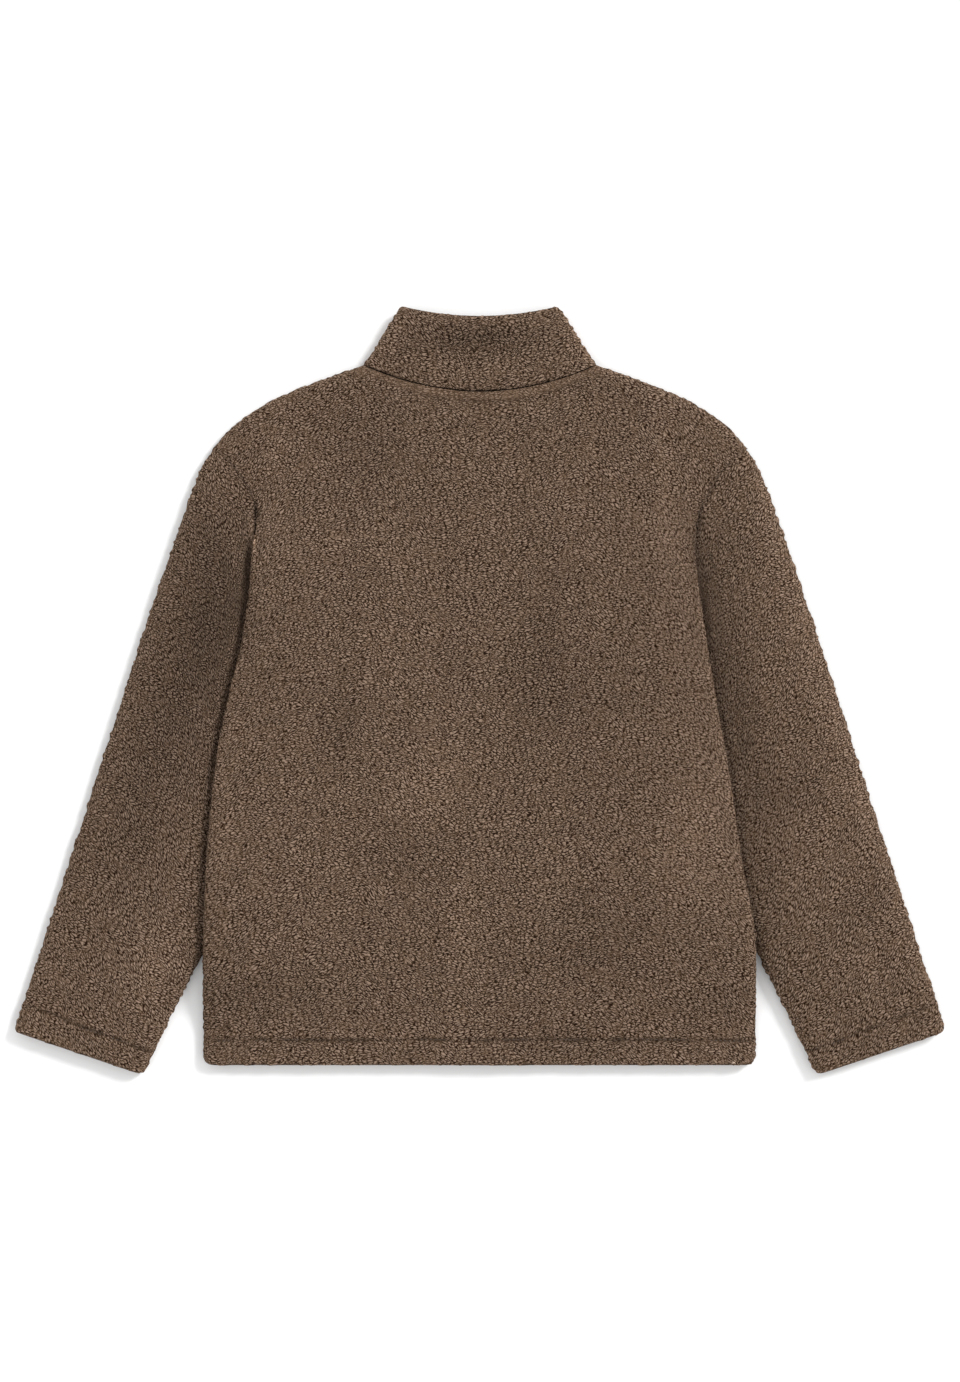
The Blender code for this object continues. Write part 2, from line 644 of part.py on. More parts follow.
def make_front(sign, name, fleece):
    zip_marks = ZIP_HALF + np.array([0, *ZIP_EDGE_STEPS, ZIP_TURN_REACH, ZIP_TURN_REACH + ZIP_TURN_FADE])
    marks = np.concatenate([side_marks(), neck_marks(), zip_marks])
    columns = joined((SHOULDER_X - marks) / (SHOULDER_X - ZIP_HALF))
    outer, inner = body_panel(
        half_patch(sign, ZIP_HALF, front_neck_y),
        *np.meshgrid(columns, body_rows()),
        side_edges=(0,),
        upper=False,
        zip_edge=1,
    )
    return add_wall(name, outer, inner, False, fleece)


def make_sleeve(sign, name, fleece):
    """A sleeve is one tube: its upper layer from outer to underarm edge, and its lower layer back again."""
    heights = side_rows()
    armhole = (SHOULDER_Y - heights[heights >= DIVE_Y]) / (SHOULDER_Y - UNDERARM_Y)
    columns = joined(armhole, [mix(armhole.max(), 1, 0.3)], 1 - armhole[armhole < FOLD_SHARE])
    crease = 1 - np.array([0, 0.4, 1.0]) * CREASE_REACH / SLEEVE_LONG
    rows = joined(hem_marks() / SLEEVE_LONG, np.linspace(SLEEVE_FIRST, crease[-1], SLEEVE_ROWS), crease)
    upper = sleeve_layer(sign, *np.meshgrid(columns, rows), upper=True)
    lower = sleeve_layer(sign, *np.meshgrid(columns[-2:0:-1], rows), upper=False)
    outer, inner = (np.concatenate([a, b], axis=1) for a, b in zip(upper, lower))
    return add_wall(name, outer, inner, True, fleece)


def make_collar(fleece):
    """The collar runs from one front edge round the back to the other, folded flat at its two sides."""
    marks = neck_marks()
    half = 0.5 - np.append(marks, 0) / (2 * NECK_X)
    rows = joined(COLLAR_SEAM_ROWS, COLLAR_ROWS, COLLAR_TOP_ROWS)
    upper = collar_layer(*np.meshgrid(joined(half, 1 - half), rows), upper=True)
    half_width = mix(NECK_X, COLLAR_TOP_X, rows)[:, None]
    zip_s = 0.5 - ZIP_HALF / (2 * half_width)
    zip_marks = [ZIP_HALF + ZIP_TURN_REACH + ZIP_TURN_FADE, ZIP_HALF]
    share = (NECK_X - np.append(marks[1:], zip_marks))[None, :] / (NECK_X - ZIP_HALF)
    front_s = share * zip_s
    front_t = rows[:, None] + 0 * share
    left = collar_layer(front_s[:, ::-1], front_t, upper=False)
    right = collar_layer(1 - front_s, front_t, upper=False)
    outer, inner = (np.concatenate(parts, axis=1) for parts in zip(left, upper, right))
    return add_wall("collar", outer, inner, False, fleece)


def extruded(outline, low, high, axis):
    """(points, faces) of an outline, as pairs of the two other axes in order, extruded along one axis."""
    others = [k for k in range(3) if k != axis]
    points = []
    for end in (low, high):
        for pair in outline:
            point = [0.0, 0.0, 0.0]
            point[axis] = end
            point[others[0]], point[others[1]] = pair
            points.append(point)
    count = len(outline)
    faces = [tuple(range(count)), tuple(range(2 * count - 1, count - 1, -1))]
    faces += [(i, (i + 1) % count, (i + 1) % count + count, i + count) for i in range(count)]
    return points, faces


def add_union(name, shapes, finish):
    """One body from shapes that overlap, joined by exact Boolean unions."""
    first, *rest = [add_object(f"{name}_{i}", *shape, finish) for i, shape in enumerate(shapes)]
    first.name = name
    for other in rest:
        union = first.modifiers.new(other.name, "BOOLEAN")
        union.operation = "UNION"
        union.object = other
        other.hide_render = True
        other.display_type = "WIRE"
    return first


def box(x, y, z):
    """(points, faces) of a box from its (low, high) pairs."""
    return extruded([(x[0], y[0]), (x[1], y[0]), (x[1], y[1]), (x[0], y[1])], *z, axis=2)


def make_zip(tape):
    """The closed chain on its two tapes, between the two front edges."""
    half = [(TAPE_HALF, TAPE_HIGH), (TAPE_HALF, TAPE_LOW), (CHAIN_HALF, TAPE_LOW), (CHAIN_HALF, CHAIN_LOW)]
    outline = half + [(-x, z) for x, z in reversed(half)]
    return add_object("zip_chain", *extruded(outline, ZIP_BOTTOM_Y, ZIP_TOP_Y, axis=1), tape)


def make_slider(metal):
    """Slider at the top of the closed chain: two wings round the chain, a post between them and a bridge."""
    low_y = SLIDER_TOP_Y - SLIDER_LONG
    overlap = 0.0002
    bridge_y = (PIVOT_Y - BRIDGE_LONG / 2, PIVOT_Y + BRIDGE_LONG / 2)
    post = (
        (-POST_HALF, POST_HALF),
        (ZIP_TOP_Y + SEAM, SLIDER_TOP_Y - SEAM),
        (WING_HIGH - overlap, BACK_WING_LOW + overlap),
    )
    shapes = [
        extruded(
            [
                (-SLIDER_HALF, WING_LOW),
                (SLIDER_HALF, WING_LOW),
                (SLIDER_HALF, FLANGE_HIGH),
                (FLANGE_IN, FLANGE_HIGH),
                (FLANGE_IN, WING_HIGH),
                (-FLANGE_IN, WING_HIGH),
                (-FLANGE_IN, FLANGE_HIGH),
                (-SLIDER_HALF, FLANGE_HIGH),
            ],
            low_y,
            SLIDER_TOP_Y,
            axis=1,
        ),
        box(*post),
        box((-FLANGE_IN, FLANGE_IN), (low_y, SLIDER_TOP_Y - overlap), (BACK_WING_LOW, BACK_WING_HIGH)),
        extruded(
            [
                (bridge_y[0], BRIDGE_LOW),
                (bridge_y[1], BRIDGE_LOW),
                (bridge_y[1], WING_LOW + overlap),
                (bridge_y[1] - BRIDGE_LEG, WING_LOW + overlap),
                (bridge_y[1] - BRIDGE_LEG, BRIDGE_HIGH),
                (bridge_y[0] + BRIDGE_LEG, BRIDGE_HIGH),
                (bridge_y[0] + BRIDGE_LEG, WING_LOW + overlap),
                (bridge_y[0], WING_LOW + overlap),
            ],
            -BRIDGE_HALF,
            BRIDGE_HALF,
            axis=0,
        ),
    ]
    return add_union("zip_slider", shapes, metal)


def make_pull(metal):
    """Flat pull that hangs on the bridge by its eye. Its object's origin is on the hinge axis."""
    low_z, high_z = -PULL_THICK / 2, PULL_THICK / 2
    tip = -PULL_LONG
    outline = [
        (-PULL_HALF, PIN_HALF),
        (-PULL_HALF, tip + PULL_CORNER),
        (-PULL_HALF + PULL_CORNER, tip),
        (PULL_HALF - PULL_CORNER, tip),
        (PULL_HALF, tip + PULL_CORNER),
        (PULL_HALF, PIN_HALF),
    ]
    pull = add_object("zip_pull", *extruded(outline, low_z, high_z, axis=2), metal)
    hole = box((-EYE_HALF, EYE_HALF), (-EYE_FAR, -EYE_NEAR), (2 * low_z, 2 * high_z))
    eye = add_object("zip_pull_eye", *hole, metal)
    eye.hide_render = True
    eye.display_type = "WIRE"
    cut = pull.modifiers.new("eye", "BOOLEAN")
    cut.operation = "DIFFERENCE"
    cut.object = eye
    eye.parent = pull
    pull.location = (0, PIVOT_Y, PIVOT_Z)
    return pull


def main():
    for old in list(bpy.data.objects):
        bpy.data.objects.remove(old)
    fleece = material("fleece", (0.135, 0.092, 0.063), 0.95)
    tape = material("zip_tape", (0.075, 0.052, 0.038), 0.7)
    metal = material("zip_metal", (0.20, 0.16, 0.13), 0.35, 0.9)
    make_back(fleece)
    make_front(-1, "front_left", fleece)
    make_front(1, "front_right", fleece)
    make_sleeve(-1, "sleeve_left", fleece)
    make_sleeve(1, "sleeve_right", fleece)
    make_collar(fleece)
    make_zip(tape)
    make_slider(metal)
    make_pull(metal)


main()
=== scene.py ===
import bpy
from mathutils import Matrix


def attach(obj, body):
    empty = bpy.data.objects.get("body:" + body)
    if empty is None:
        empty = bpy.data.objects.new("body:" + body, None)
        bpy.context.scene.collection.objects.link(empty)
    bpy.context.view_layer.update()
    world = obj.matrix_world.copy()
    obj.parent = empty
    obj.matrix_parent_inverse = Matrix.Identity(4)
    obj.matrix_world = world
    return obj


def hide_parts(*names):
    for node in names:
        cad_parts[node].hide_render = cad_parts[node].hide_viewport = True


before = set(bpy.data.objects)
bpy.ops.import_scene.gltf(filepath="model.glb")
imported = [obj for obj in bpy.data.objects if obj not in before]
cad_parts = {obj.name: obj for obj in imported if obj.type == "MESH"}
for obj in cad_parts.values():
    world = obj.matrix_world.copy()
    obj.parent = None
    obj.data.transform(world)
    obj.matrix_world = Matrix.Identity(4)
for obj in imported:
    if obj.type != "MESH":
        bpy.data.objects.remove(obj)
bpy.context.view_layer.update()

import math
from collections import namedtuple

import bpy
import numpy as np
from mathutils import Vector

# The jacket's own sizes and curves, in metres

# Fleece with its pile, two such walls laid on each other, and the gaps at seams
WALL = 0.005
AIR = 0.0024
LAID = 2 * WALL + AIR
SEAM = 0.0003
# The pile closes the armhole seam, so the sleeve's edge laps under the body's
SEAM_SIDE = -0.0008

# Hems at the waist and the cuffs, turned in and stitched through
HEM_DEPTH = 0.025
HEM_EXTRA, HEM_FADE = 0.001, 0.006
HEM_SWELL, HEM_SWELL_REACH = 0.0015, 0.012
HEM_ROUND = 0.0024
HEM_ROUND_REACH = 0.004
STITCH_DEPTH = 0.0012
STITCH_REACH = 0.003

# Soft edges: how far in from an edge the cloth starts to turn down
BODY_TURN = 0.025
SHOULDER_TURN = 0.014
SLEEVE_TURN = 0.015
COLLAR_TURN = 0.012
NECK_ROLL_IN, NECK_ROLL_OUT = 0.004, 0.010
CREASE = 0.0009
CREASE_REACH = 0.005

# Body outline
HEM_Y = -0.375
HEM_CORNER = 0.009
SHOULDER_X, SHOULDER_Y = 0.268, 0.242
NECK_X, NECK_Y = 0.117, 0.3255
BACK_NECK_Y = 0.299
FRONT_NECK_Y = 0.2635
FRONT_NECK_POWER = 2.4
SIDE_SEAM_TOP, ARMHOLE_LOW = 0.120, 0.195

# Collar outline, and its doubled wall
COLLAR_TOP_X, COLLAR_TOP_Y = 0.083, 0.3855
COLLAR_DIP_Y = 0.3745
COLLAR_FRONT_DIP_Y = 0.333
COLLAR_CORNER = 0.009
COLLAR_WALL = 0.007
COLLAR_AIR = 0.0015
COLLAR_SEAM_LEVEL = 0.0135
COLLAR_RISE = 0.25
COLLAR_SEAM = 0.0004

# Cuff corners, and how far the body is carried up by the sleeves under its sides
CUFF_OUT_X, CUFF_OUT_Y = 0.4675, -0.3410
CUFF_IN_X, CUFF_IN_Y = 0.3365, -0.3856
CUFF_CORNER = 0.007
CROWN = 0.0110
CROWN_CUFF, CROWN_ARMHOLE = 0.100, 0.060
UNDERARM_X, UNDERARM_Y = 0.185, 0.075
DIVE_Y = 0.118
UNDERARM_BEND, UNDERARM_BEND_Y = 0.42, 0.100
ARMHOLE_POINTS = 14
LIFT = LAID + 0.0008
LIFT_SLOPE, BACK_SLOPE, LIFT_INSIDE = 0.070, 0.150, 0.003
BACK_CROWN = 0.0030
BACK_CROWN_OUT, BACK_CROWN_IN, BACK_CROWN_RISE = 0.150, 0.030, 0.120
BACK_CROWN_TOP, BACK_CROWN_FULL = 0.270, 0.200
LIFT_FULL_BELOW, LIFT_NONE_ABOVE = 0.118, 0.200
LIFT_FULL_ABOVE, LIFT_NONE_BELOW = -0.280, -0.350

# Front closure
ZIP_HALF = 0.0083
ZIP_TURN = 0.002
ZIP_TURN_REACH, ZIP_TURN_FADE = 0.013, 0.006
ZIP_EDGE_FALL, ZIP_EDGE_REACH = 0.0015, 0.003
ZIP_SWELL, ZIP_SWELL_OUT, ZIP_SWELL_IN = 0.0015, 0.050, 0.018
NECK_SWELL, NECK_SWELL_BELOW, NECK_SWELL_ABOVE = 0.0018, 0.030, 0.004

# Lengths of the body and of a sleeve along their middles
BODY_LONG, SLEEVE_LONG = 0.660, 0.520

Edge = namedtuple("Edge", "y left right")
# Side of the body and armhole seam, from the hem up to the shoulder point
BODY_EDGE = [
    Edge(HEM_Y, 0.2775, 0.2765),
    Edge(-0.264, 0.2770, 0.2760),
    Edge(-0.159, 0.2730, 0.2600),
    Edge(-0.069, 0.2640, 0.2470),
    Edge(-0.009, 0.2520, 0.2360),
    Edge(0.051, 0.2380, 0.2260),
    Edge(0.100, 0.2310, 0.2190),
    Edge(0.140, 0.2280, 0.2150),
    Edge(0.175, 0.2240, 0.2180),
    Edge(0.194, 0.2280, 0.2270),
    Edge(0.212, 0.2380, 0.2370),
    Edge(0.228, 0.2510, 0.2510),
    Edge(SHOULDER_Y, SHOULDER_X, SHOULDER_X),
]

Point = namedtuple("Point", "x y")
# Shoulder seam from the neck to the shoulder point
SHOULDER = [
    Point(NECK_X, NECK_Y),
    Point(0.140, 0.3180),
    Point(0.161, 0.3105),
    Point(0.185, 0.3010),
    Point(0.209, 0.2905),
    Point(0.226, 0.2805),
    Point(0.240, 0.2705),
    Point(0.256, 0.2560),
    Point(SHOULDER_X, SHOULDER_Y),
]
# Outer edge of a sleeve, from the shoulder point to the cuff
SLEEVE_OUTER = [
    Point(SHOULDER_X, SHOULDER_Y),
    Point(0.277, 0.2300),
    Point(0.2855, 0.2110),
    Point(0.300, 0.1710),
    Point(0.3275, 0.0910),
    Point(0.392, -0.1090),
    Point(0.4424, -0.2644),
    Point(CUFF_OUT_X, CUFF_OUT_Y),
]
# Underarm edge of a sleeve, which runs under the body near its top
SLEEVE_INNER = [
    Point(UNDERARM_X, UNDERARM_Y),
    Point(0.189, 0.0300),
    Point(0.199, -0.0300),
    Point(0.212, -0.0900),
    Point(0.229, -0.1500),
    Point(0.250, -0.2050),
    Point(0.277, -0.2640),
    Point(0.302, -0.3130),
    Point(CUFF_IN_X, CUFF_IN_Y),
]

Fold = namedtuple("Fold", "x y length width turn height")
# Soft ridges and troughs on top: middle, half length, half width, degrees from +X, height
BODY_FOLDS = [
    Fold(0.090, 0.020, 0.075, 0.026, 84, 0.0026),
    Fold(-0.118, 0.005, 0.060, 0.022, 78, 0.0020),
    Fold(-0.080, 0.245, 0.045, 0.020, 35, 0.0018),
    Fold(-0.072, -0.105, 0.060, 0.028, 40, 0.0026),
    Fold(0.105, -0.215, 0.060, 0.026, 30, 0.0026),
    Fold(0.178, -0.175, 0.075, 0.030, 75, 0.0024),
    Fold(-0.190, -0.280, 0.070, 0.022, 8, 0.0020),
    Fold(-0.038, -0.255, 0.070, 0.018, 88, 0.0018),
    Fold(0.215, -0.300, 0.050, 0.020, 160, 0.0018),
    Fold(0.060, 0.190, 0.080, 0.030, 115, 0.0014),
    Fold(0.020, -0.020, 0.090, 0.022, 92, -0.0014),
]
SLEEVE_FOLDS = {
    -1: [
        Fold(-0.292, -0.020, 0.070, 0.022, 70, -0.0022),
        Fold(-0.330, -0.130, 0.060, 0.020, 20, 0.0022),
        Fold(-0.352, -0.205, 0.060, 0.018, 160, -0.0014),
        Fold(-0.345, -0.280, 0.050, 0.022, 55, 0.0020),
    ],
    1: [
        Fold(0.318, 0.010, 0.070, 0.024, 110, 0.0020),
        Fold(0.335, -0.095, 0.050, 0.018, 150, 0.0022),
        Fold(0.330, -0.165, 0.050, 0.020, 110, 0.0022),
        Fold(0.405, -0.195, 0.060, 0.020, 30, 0.0018),
        Fold(0.362, -0.285, 0.050, 0.022, 120, 0.0016),
    ],
}
COLLAR_FOLDS = [
    Fold(0.000, 0.3655, 0.058, 0.0095, 0, 0.0022),
    Fold(-0.016, 0.3460, 0.045, 0.0130, 4, -0.0011),
]

# Zip, seen in section: tapes, chain and one moulded tooth
TAPE_HALF = ZIP_HALF - 0.0006
TAPE_LOW, TAPE_HIGH = 0.0057, 0.0066
TAPE_INNER, TAPE_THIN = 0.0016, 0.7
CHAIN_LOW = 0.0042
ZIP_BOTTOM_Y = HEM_Y + 0.003
ZIP_TOP_Y = COLLAR_FRONT_DIP_Y - 0.006
TOOTH_PITCH, TOOTH_START, TOOTH_END = 0.0025, 0.002, 0.004
TOOTH_X, TOOTH_SINK = 0.0013, 0.0001
TOOTH_HALF = (0.0015, 0.00052, 0.0010)

# Thread and its stitches, and the pale tack near the right end of the hem
THREAD, THREAD_SIDES = 0.00045, 6
STITCH, STITCH_GAP, STITCH_SINK = 0.0034, 0.0012, 0.0012
BEND_AT, BEND_DOWN = (0, 0.2, 0.5, 0.8, 1.0), (2.2, 0.6, 0, 0.6, 2.2)
UNDERSIDE_BELOW = 0.008
TACK_X, TACK_Y, TACK_LONG, TACK_LOW = 0.2535, -0.3722, 0.0044, 0.0003
TACK_THREADS, TACK_STITCH = ((-0.0004, 0.0005), (0.0004, -0.0003)), 0.98

Run = namedtuple("Run", "start end points")
# Rows of stitches, as shares of a piece's width, and the piece's length there
BACK_RUN, FRONT_RUN, SLEEVE_RUN = Run(0.004, 0.996, 300), Run(0.02, 0.93, 120), Run(0.06, 0.94, 90)
BACK_RUN_LONG, FRONT_RUN_LONG = 0.66, 0.63
NECK_RUN, NECK_RUN_PAST = Run(-1, 1, 160), 0.006

# Pile: how deep its curls stand, how wide they are, and how they wander
PILE, PILE_TOP = 0.0009, 0.80
CURL, CURL_FINE, CLUMP = 0.0048, 0.0040, 0.021
CURL_LEVEL, CURL_GAIN, CURL_FINE_GAIN, CLUMP_GAIN = 0.55, 0.75, 0.45, 0.06
WARP, WARP_CELL = 0.0020, 0.011
NOISE_SEED, NOISE_SIZE, NOISE_SHIFT, NOISE_GAIN = 7, 256, 31.7, 1.5

# How far apart the mesh is cut on top, on the underside and in the collar, and how coarse inside
CELL_TOP, CELL_UNDER, CELL_COLLAR = 0.00205, 0.0032, 0.0017
INNER_STEP = 6
STATION_SAMPLES = 6000
EDGE_EXTRA, EDGE_REACH, SIDE_REACH = 2.5, 0.003, 0.004
CUT_APART = 0.1
SLEEVE_WIDE = 0.160

# Rows of stitches in the cloth, their grooves darkened with painted shade, and the smooth band of cloth
# under the collar
SEWN_REACH, SEWN_DEEP, SEWN_PAINTED_SHADE = 0.0019, 0.0013, 0.50
SEWN_WAVE, SEWN_WAVE_CELL = 0.0012, 0.045
SEWN_EVEN, SEWN_BREAK, SEWN_BREAK_CELL, SEWN_LEAST = 0.75, 1.1, 0.016, 0.15
HEM_SEED, BAND_SEED = 20, 22
BAND, BAND_LINE, BAND_SOFT = 0.0105, 0.6, 0.003
BAND_PAST, BAND_FADE = 0.012, 0.010
NECK_LINE, NECK_LINE_REACH = 0.62, 0.0015

# The deep crease of a sleeve where the body's side edge lies on it, deepened and darkened with painted
# shade
BESIDE_BODY_SHADE, BESIDE_OUT, BESIDE_REACH = 0.26, 0.001, 0.0045
BESIDE_TOP, BESIDE_FULL = 0.158, 0.100

# Pile along turned edges: how much lighter it is with painted sheen, and how much deeper it is
RIM_PAINTED_SHEEN, RIM_PILE = 0.55, 2.6

# Pressed pile: its level, what is left of its curls, how thin, light and smooth it is
PRESSED_LEVEL, PRESSED_LEFT, PRESSED_THIN = 0.62, 0.3, 0.45
PRESSED_SHADE, PRESSED_HEIGHT, PRESSED_FLAT = 0.05, 0.50, 0.42
INSIDE_PILE = 0.55

# Colours of the pile from its pits, darkened with painted shade, to its tips, and how far they vary over
# the cloth
PIT_SHADE, MIDDLE, TIP = (0.013, 0.0055, 0.0020), (0.1100, 0.0680, 0.0418), (0.244, 0.170, 0.125)
PILE_STOPS = ((0.12, PIT_SHADE), (0.50, MIDDLE), (0.88, TIP))
PILE_SHARE = 0.05
TONE, TONE_CELLS, TONE_BEND = 0.12, 16.0, 0.3

# Curls in the material: cells a metre, their length, and the patches of their two lays
CURL_CELLS, LUMP_CELLS, CURL_LONG = 850.0, 425.0, 2.4
FINE_BEND, FINE_GAIN, FINE_LEVEL = 0.4, 3.0, 0.80
LUMP_SPREAD, LUMP_GAIN, LUMP_FLOOR = 0.9, 5.0, 0.1
LAYS, LAY_CELLS, LAY_EDGE = (62.0, -76.0), 38.0, 8.0
WANDERS = ((40.0, 0.0034), (170.0, 0.0009))
FLEECE_ROUGH, FLEECE_SHINE = 0.95, 0.05
SHEEN, SHEEN_ROUGH, SHEEN_TINT = 0.05, 0.5, (0.75, 0.56, 0.40)
FLEECE_BUMP = (0.9, 0.0010)

# Metal, tape, threads and floor
METAL_DARK, METAL_LIGHT = (0.16, 0.13, 0.11), (0.34, 0.30, 0.26)
WEAR_CELLS, WEAR_ROUGH, METAL_ROUGH = 900.0, 0.3, 0.22
TAPE_DARK, TAPE_LIGHT = (0.045, 0.030, 0.021), (0.085, 0.058, 0.042)
WEAVE_CELLS, WEAVE_BEND, TAPE_ROUGH, TAPE_BUMP = 420.0, 0.4, 0.8, (0.4, 0.0003)
THREAD_DARK, THREAD_LIGHT = (0.045, 0.030, 0.021), (0.09, 0.062, 0.045)
PALE_DARK, PALE_LIGHT = (0.42, 0.30, 0.23), (0.56, 0.43, 0.34)
TWIST_CELLS, THREAD_LOOK = 1500.0, {"Roughness": 0.7}
FLOOR_DARK, FLOOR_LIGHT, SPECK_CELLS = (0.90, 0.90, 0.90), (0.92, 0.92, 0.92), 3.0

# Studio: a sky that is brighter at its sides, a soft key light, the floor, and the camera overhead
SKY_TOP, SKY_SIDE = 0.62, 1.75
KEY, KEY_WAY, KEY_ANGLE = 2.4, (1.25, 1.0, 1.0), 16
FLOOR_HALF, FLOOR_DROP = 8.0, 0.0002
LENS, FILM, CLIP_END = 100.0, 36.0, 50.0
VIEW_HIGH, VIEW_Y, VIEW_LEVEL = 1.382, -0.0007, 0.012

Cut = namedtuple("Cut", "flat area seed lies_on")
# Each cloth piece: its flat cut as it shows, all round on a tube, its noise, what it lies on
CUTS = {
    "back": Cut((0.56, 0.70), 0.365, 11, ["front_left", "front_right"]),
    "front_left": Cut((0.27, 0.70), 0.170, 23, ["back"]),
    "front_right": Cut((0.27, 0.70), 0.165, 37, ["back"]),
    "sleeve_left": Cut((0.38, 0.62), 0.165, 43, ["back"]),
    "sleeve_right": Cut((0.38, 0.62), 0.165, 59, ["back"]),
    "collar": Cut((0.43, 0.085), 0.0345, 71, ["zip_chain"]),
}

# How strongly the tables below, of nap and of painted shade and light, are shown
NAP_AND_SHADE_GAIN = 1.35

# Patches that look darker or lighter: partly the pile lying another way, partly painted shade in creases,
# seams and valleys beside the body and painted light along edges and over a crease, with height as the
# share
ARMHOLE_PAINTED_SHADE = [
    Fold(0.247, 0.224, 0.010, 0.0030, 48, -0.15),
    Fold(0.232, 0.203, 0.012, 0.0035, 62, -0.28),
    Fold(0.219, 0.170, 0.020, 0.0040, 80, -0.35),
    Fold(0.215, 0.135, 0.022, 0.0040, 92, -0.30),
    Fold(-0.246, 0.223, 0.010, 0.0030, 132, -0.12),
    Fold(-0.231, 0.200, 0.012, 0.0030, 115, -0.18),
    Fold(-0.2235, 0.179, 0.008, 0.0030, 92, -0.50),
    Fold(-0.2268, 0.150, 0.017, 0.0030, 96, 0.85),
]
BODY_NAP_AND_SHADE = [
    Fold(0.060, 0.018, 0.060, 0.028, 85, -0.10),
    Fold(0.110, -0.010, 0.050, 0.034, 60, -0.06),
    Fold(-0.135, -0.025, 0.045, 0.022, 85, -0.12),
    Fold(-0.105, 0.250, 0.045, 0.032, 150, -0.09),
    Fold(-0.048, -0.092, 0.055, 0.034, 80, 0.13),
    Fold(-0.060, -0.162, 0.040, 0.024, 0, -0.10),
    Fold(0.205, -0.150, 0.080, 0.042, 85, 0.15),
    Fold(0.115, -0.255, 0.065, 0.040, 10, -0.11),
    Fold(-0.215, -0.300, 0.075, 0.034, 0, -0.12),
    Fold(-0.012, -0.240, 0.075, 0.016, 90, 0.07),
    Fold(0.240, -0.312, 0.035, 0.022, 20, -0.08),
    Fold(0.085, -0.348, 0.070, 0.018, 0, -0.09),
    Fold(0.186, 0.185, 0.110, 0.012, 93, 0.12),
    Fold(-0.205, 0.190, 0.110, 0.012, 87, 0.09),
    Fold(-0.254, -0.110, 0.110, 0.012, 84, 0.12),
    *ARMHOLE_PAINTED_SHADE,
]
SLEEVE_NAP_AND_SHADE = {
    -1: [
        Fold(-0.262, 0.085, 0.085, 0.030, 80, -0.16),
        Fold(-0.268, 0.160, 0.070, 0.030, 70, -0.10),
        Fold(-0.300, 0.000, 0.150, 0.048, 70, -0.19),
        Fold(-0.276, -0.130, 0.120, 0.016, 82, -0.05),
        Fold(-0.300, 0.020, 0.080, 0.030, 70, -0.05),
        Fold(-0.335, -0.130, 0.090, 0.035, 65, -0.09),
        Fold(-0.330, -0.282, 0.034, 0.024, 60, 0.13),
        *ARMHOLE_PAINTED_SHADE,
    ],
    1: [
        Fold(0.242, 0.050, 0.100, 0.022, 100, -0.11),
        Fold(0.266, -0.070, 0.130, 0.020, 99, -0.10),
        Fold(0.292, 0.010, 0.040, 0.022, 110, 0.05),
        Fold(0.315, -0.095, 0.040, 0.014, 20, -0.08),
        Fold(0.322, -0.190, 0.050, 0.024, 100, 0.09),
        Fold(0.392, -0.205, 0.045, 0.016, 50, -0.08),
        Fold(0.345, -0.300, 0.040, 0.030, 60, 0.05),
        *ARMHOLE_PAINTED_SHADE,
    ],
}
Line = namedtuple("Line", "x share")
# How strongly the neck seam shows as a groove darkened with painted shade, along its length
NECK_SHOWS = [
    Line(-0.117, 0.45),
    Line(-0.100, 0.75),
    Line(-0.072, 0.65),
    Line(-0.054, 0.20),
    Line(-0.030, 0.25),
    Line(-0.016, 0.95),
    Line(0.010, 0.95),
    Line(0.024, 0.55),
    Line(0.060, 0.45),
    Line(0.076, 0.20),
    Line(0.117, 0.30),
]
COLLAR_NAP_AND_SHADE = [
    Fold(-0.008, 0.350, 0.062, 0.013, 2, -0.25),
    Fold(-0.096, 0.345, 0.034, 0.012, 58, 0.14),
    Fold(0.096, 0.345, 0.034, 0.012, 122, 0.14),
    Fold(0.000, 0.318, 0.060, 0.010, 0, 0.05),
]


def smooth_curve(rows, at, value):
    """A function through the rows of a table, without overshoot between them."""
    table = np.array(sorted((getattr(row, at), getattr(row, value)) for row in rows))
    places, values = table[:, 0], table[:, 1]
    steps = np.diff(places)
    slopes = np.diff(values) / steps
    tangents = np.zeros(len(values))
    tangents[0], tangents[-1] = slopes[0], slopes[-1]
    same_way = slopes[:-1] * slopes[1:] > 0
    tangents[1:-1][same_way] = 2 / (1 / slopes[:-1][same_way] + 1 / slopes[1:][same_way])

    def value_at(place):
        place = np.clip(place, places[0], places[-1])
        i = np.clip(np.searchsorted(places, place) - 1, 0, len(steps) - 1)
        u = (place - places[i]) / steps[i]
        rise = values[i + 1] - values[i]
        start, end = tangents[i] * steps[i], tangents[i + 1] * steps[i]
        return values[i] + u * (start + u * ((3 * rise - 2 * start - end) + u * (start + end - 2 * rise)))

    return value_at


body_edges = {-1: smooth_curve(BODY_EDGE, "y", "left"), 1: smooth_curve(BODY_EDGE, "y", "right")}
shoulder_y = smooth_curve(SHOULDER, "x", "y")
sleeve_outer_x = smooth_curve(SLEEVE_OUTER, "y", "x")
sleeve_inner_x = smooth_curve(SLEEVE_INNER, "y", "x")


def mix(a, b, share):
    return a + (b - a) * share


def ramp(value, start, end):
    """0 up to start, 1 from end, and smooth between. It falls if end lies below start."""
    share = np.clip((value - start) / (end - start), 0, 1)
    return share * share * (3 - 2 * share)


def fall(distance, reach):
    """How far a soft edge has turned down, along an ellipse: 1 at the edge, 0 from reach inwards."""
    inward = np.clip(distance / reach, 0, 1)
    return 1 - np.sqrt(1 - (1 - inward) ** 2)


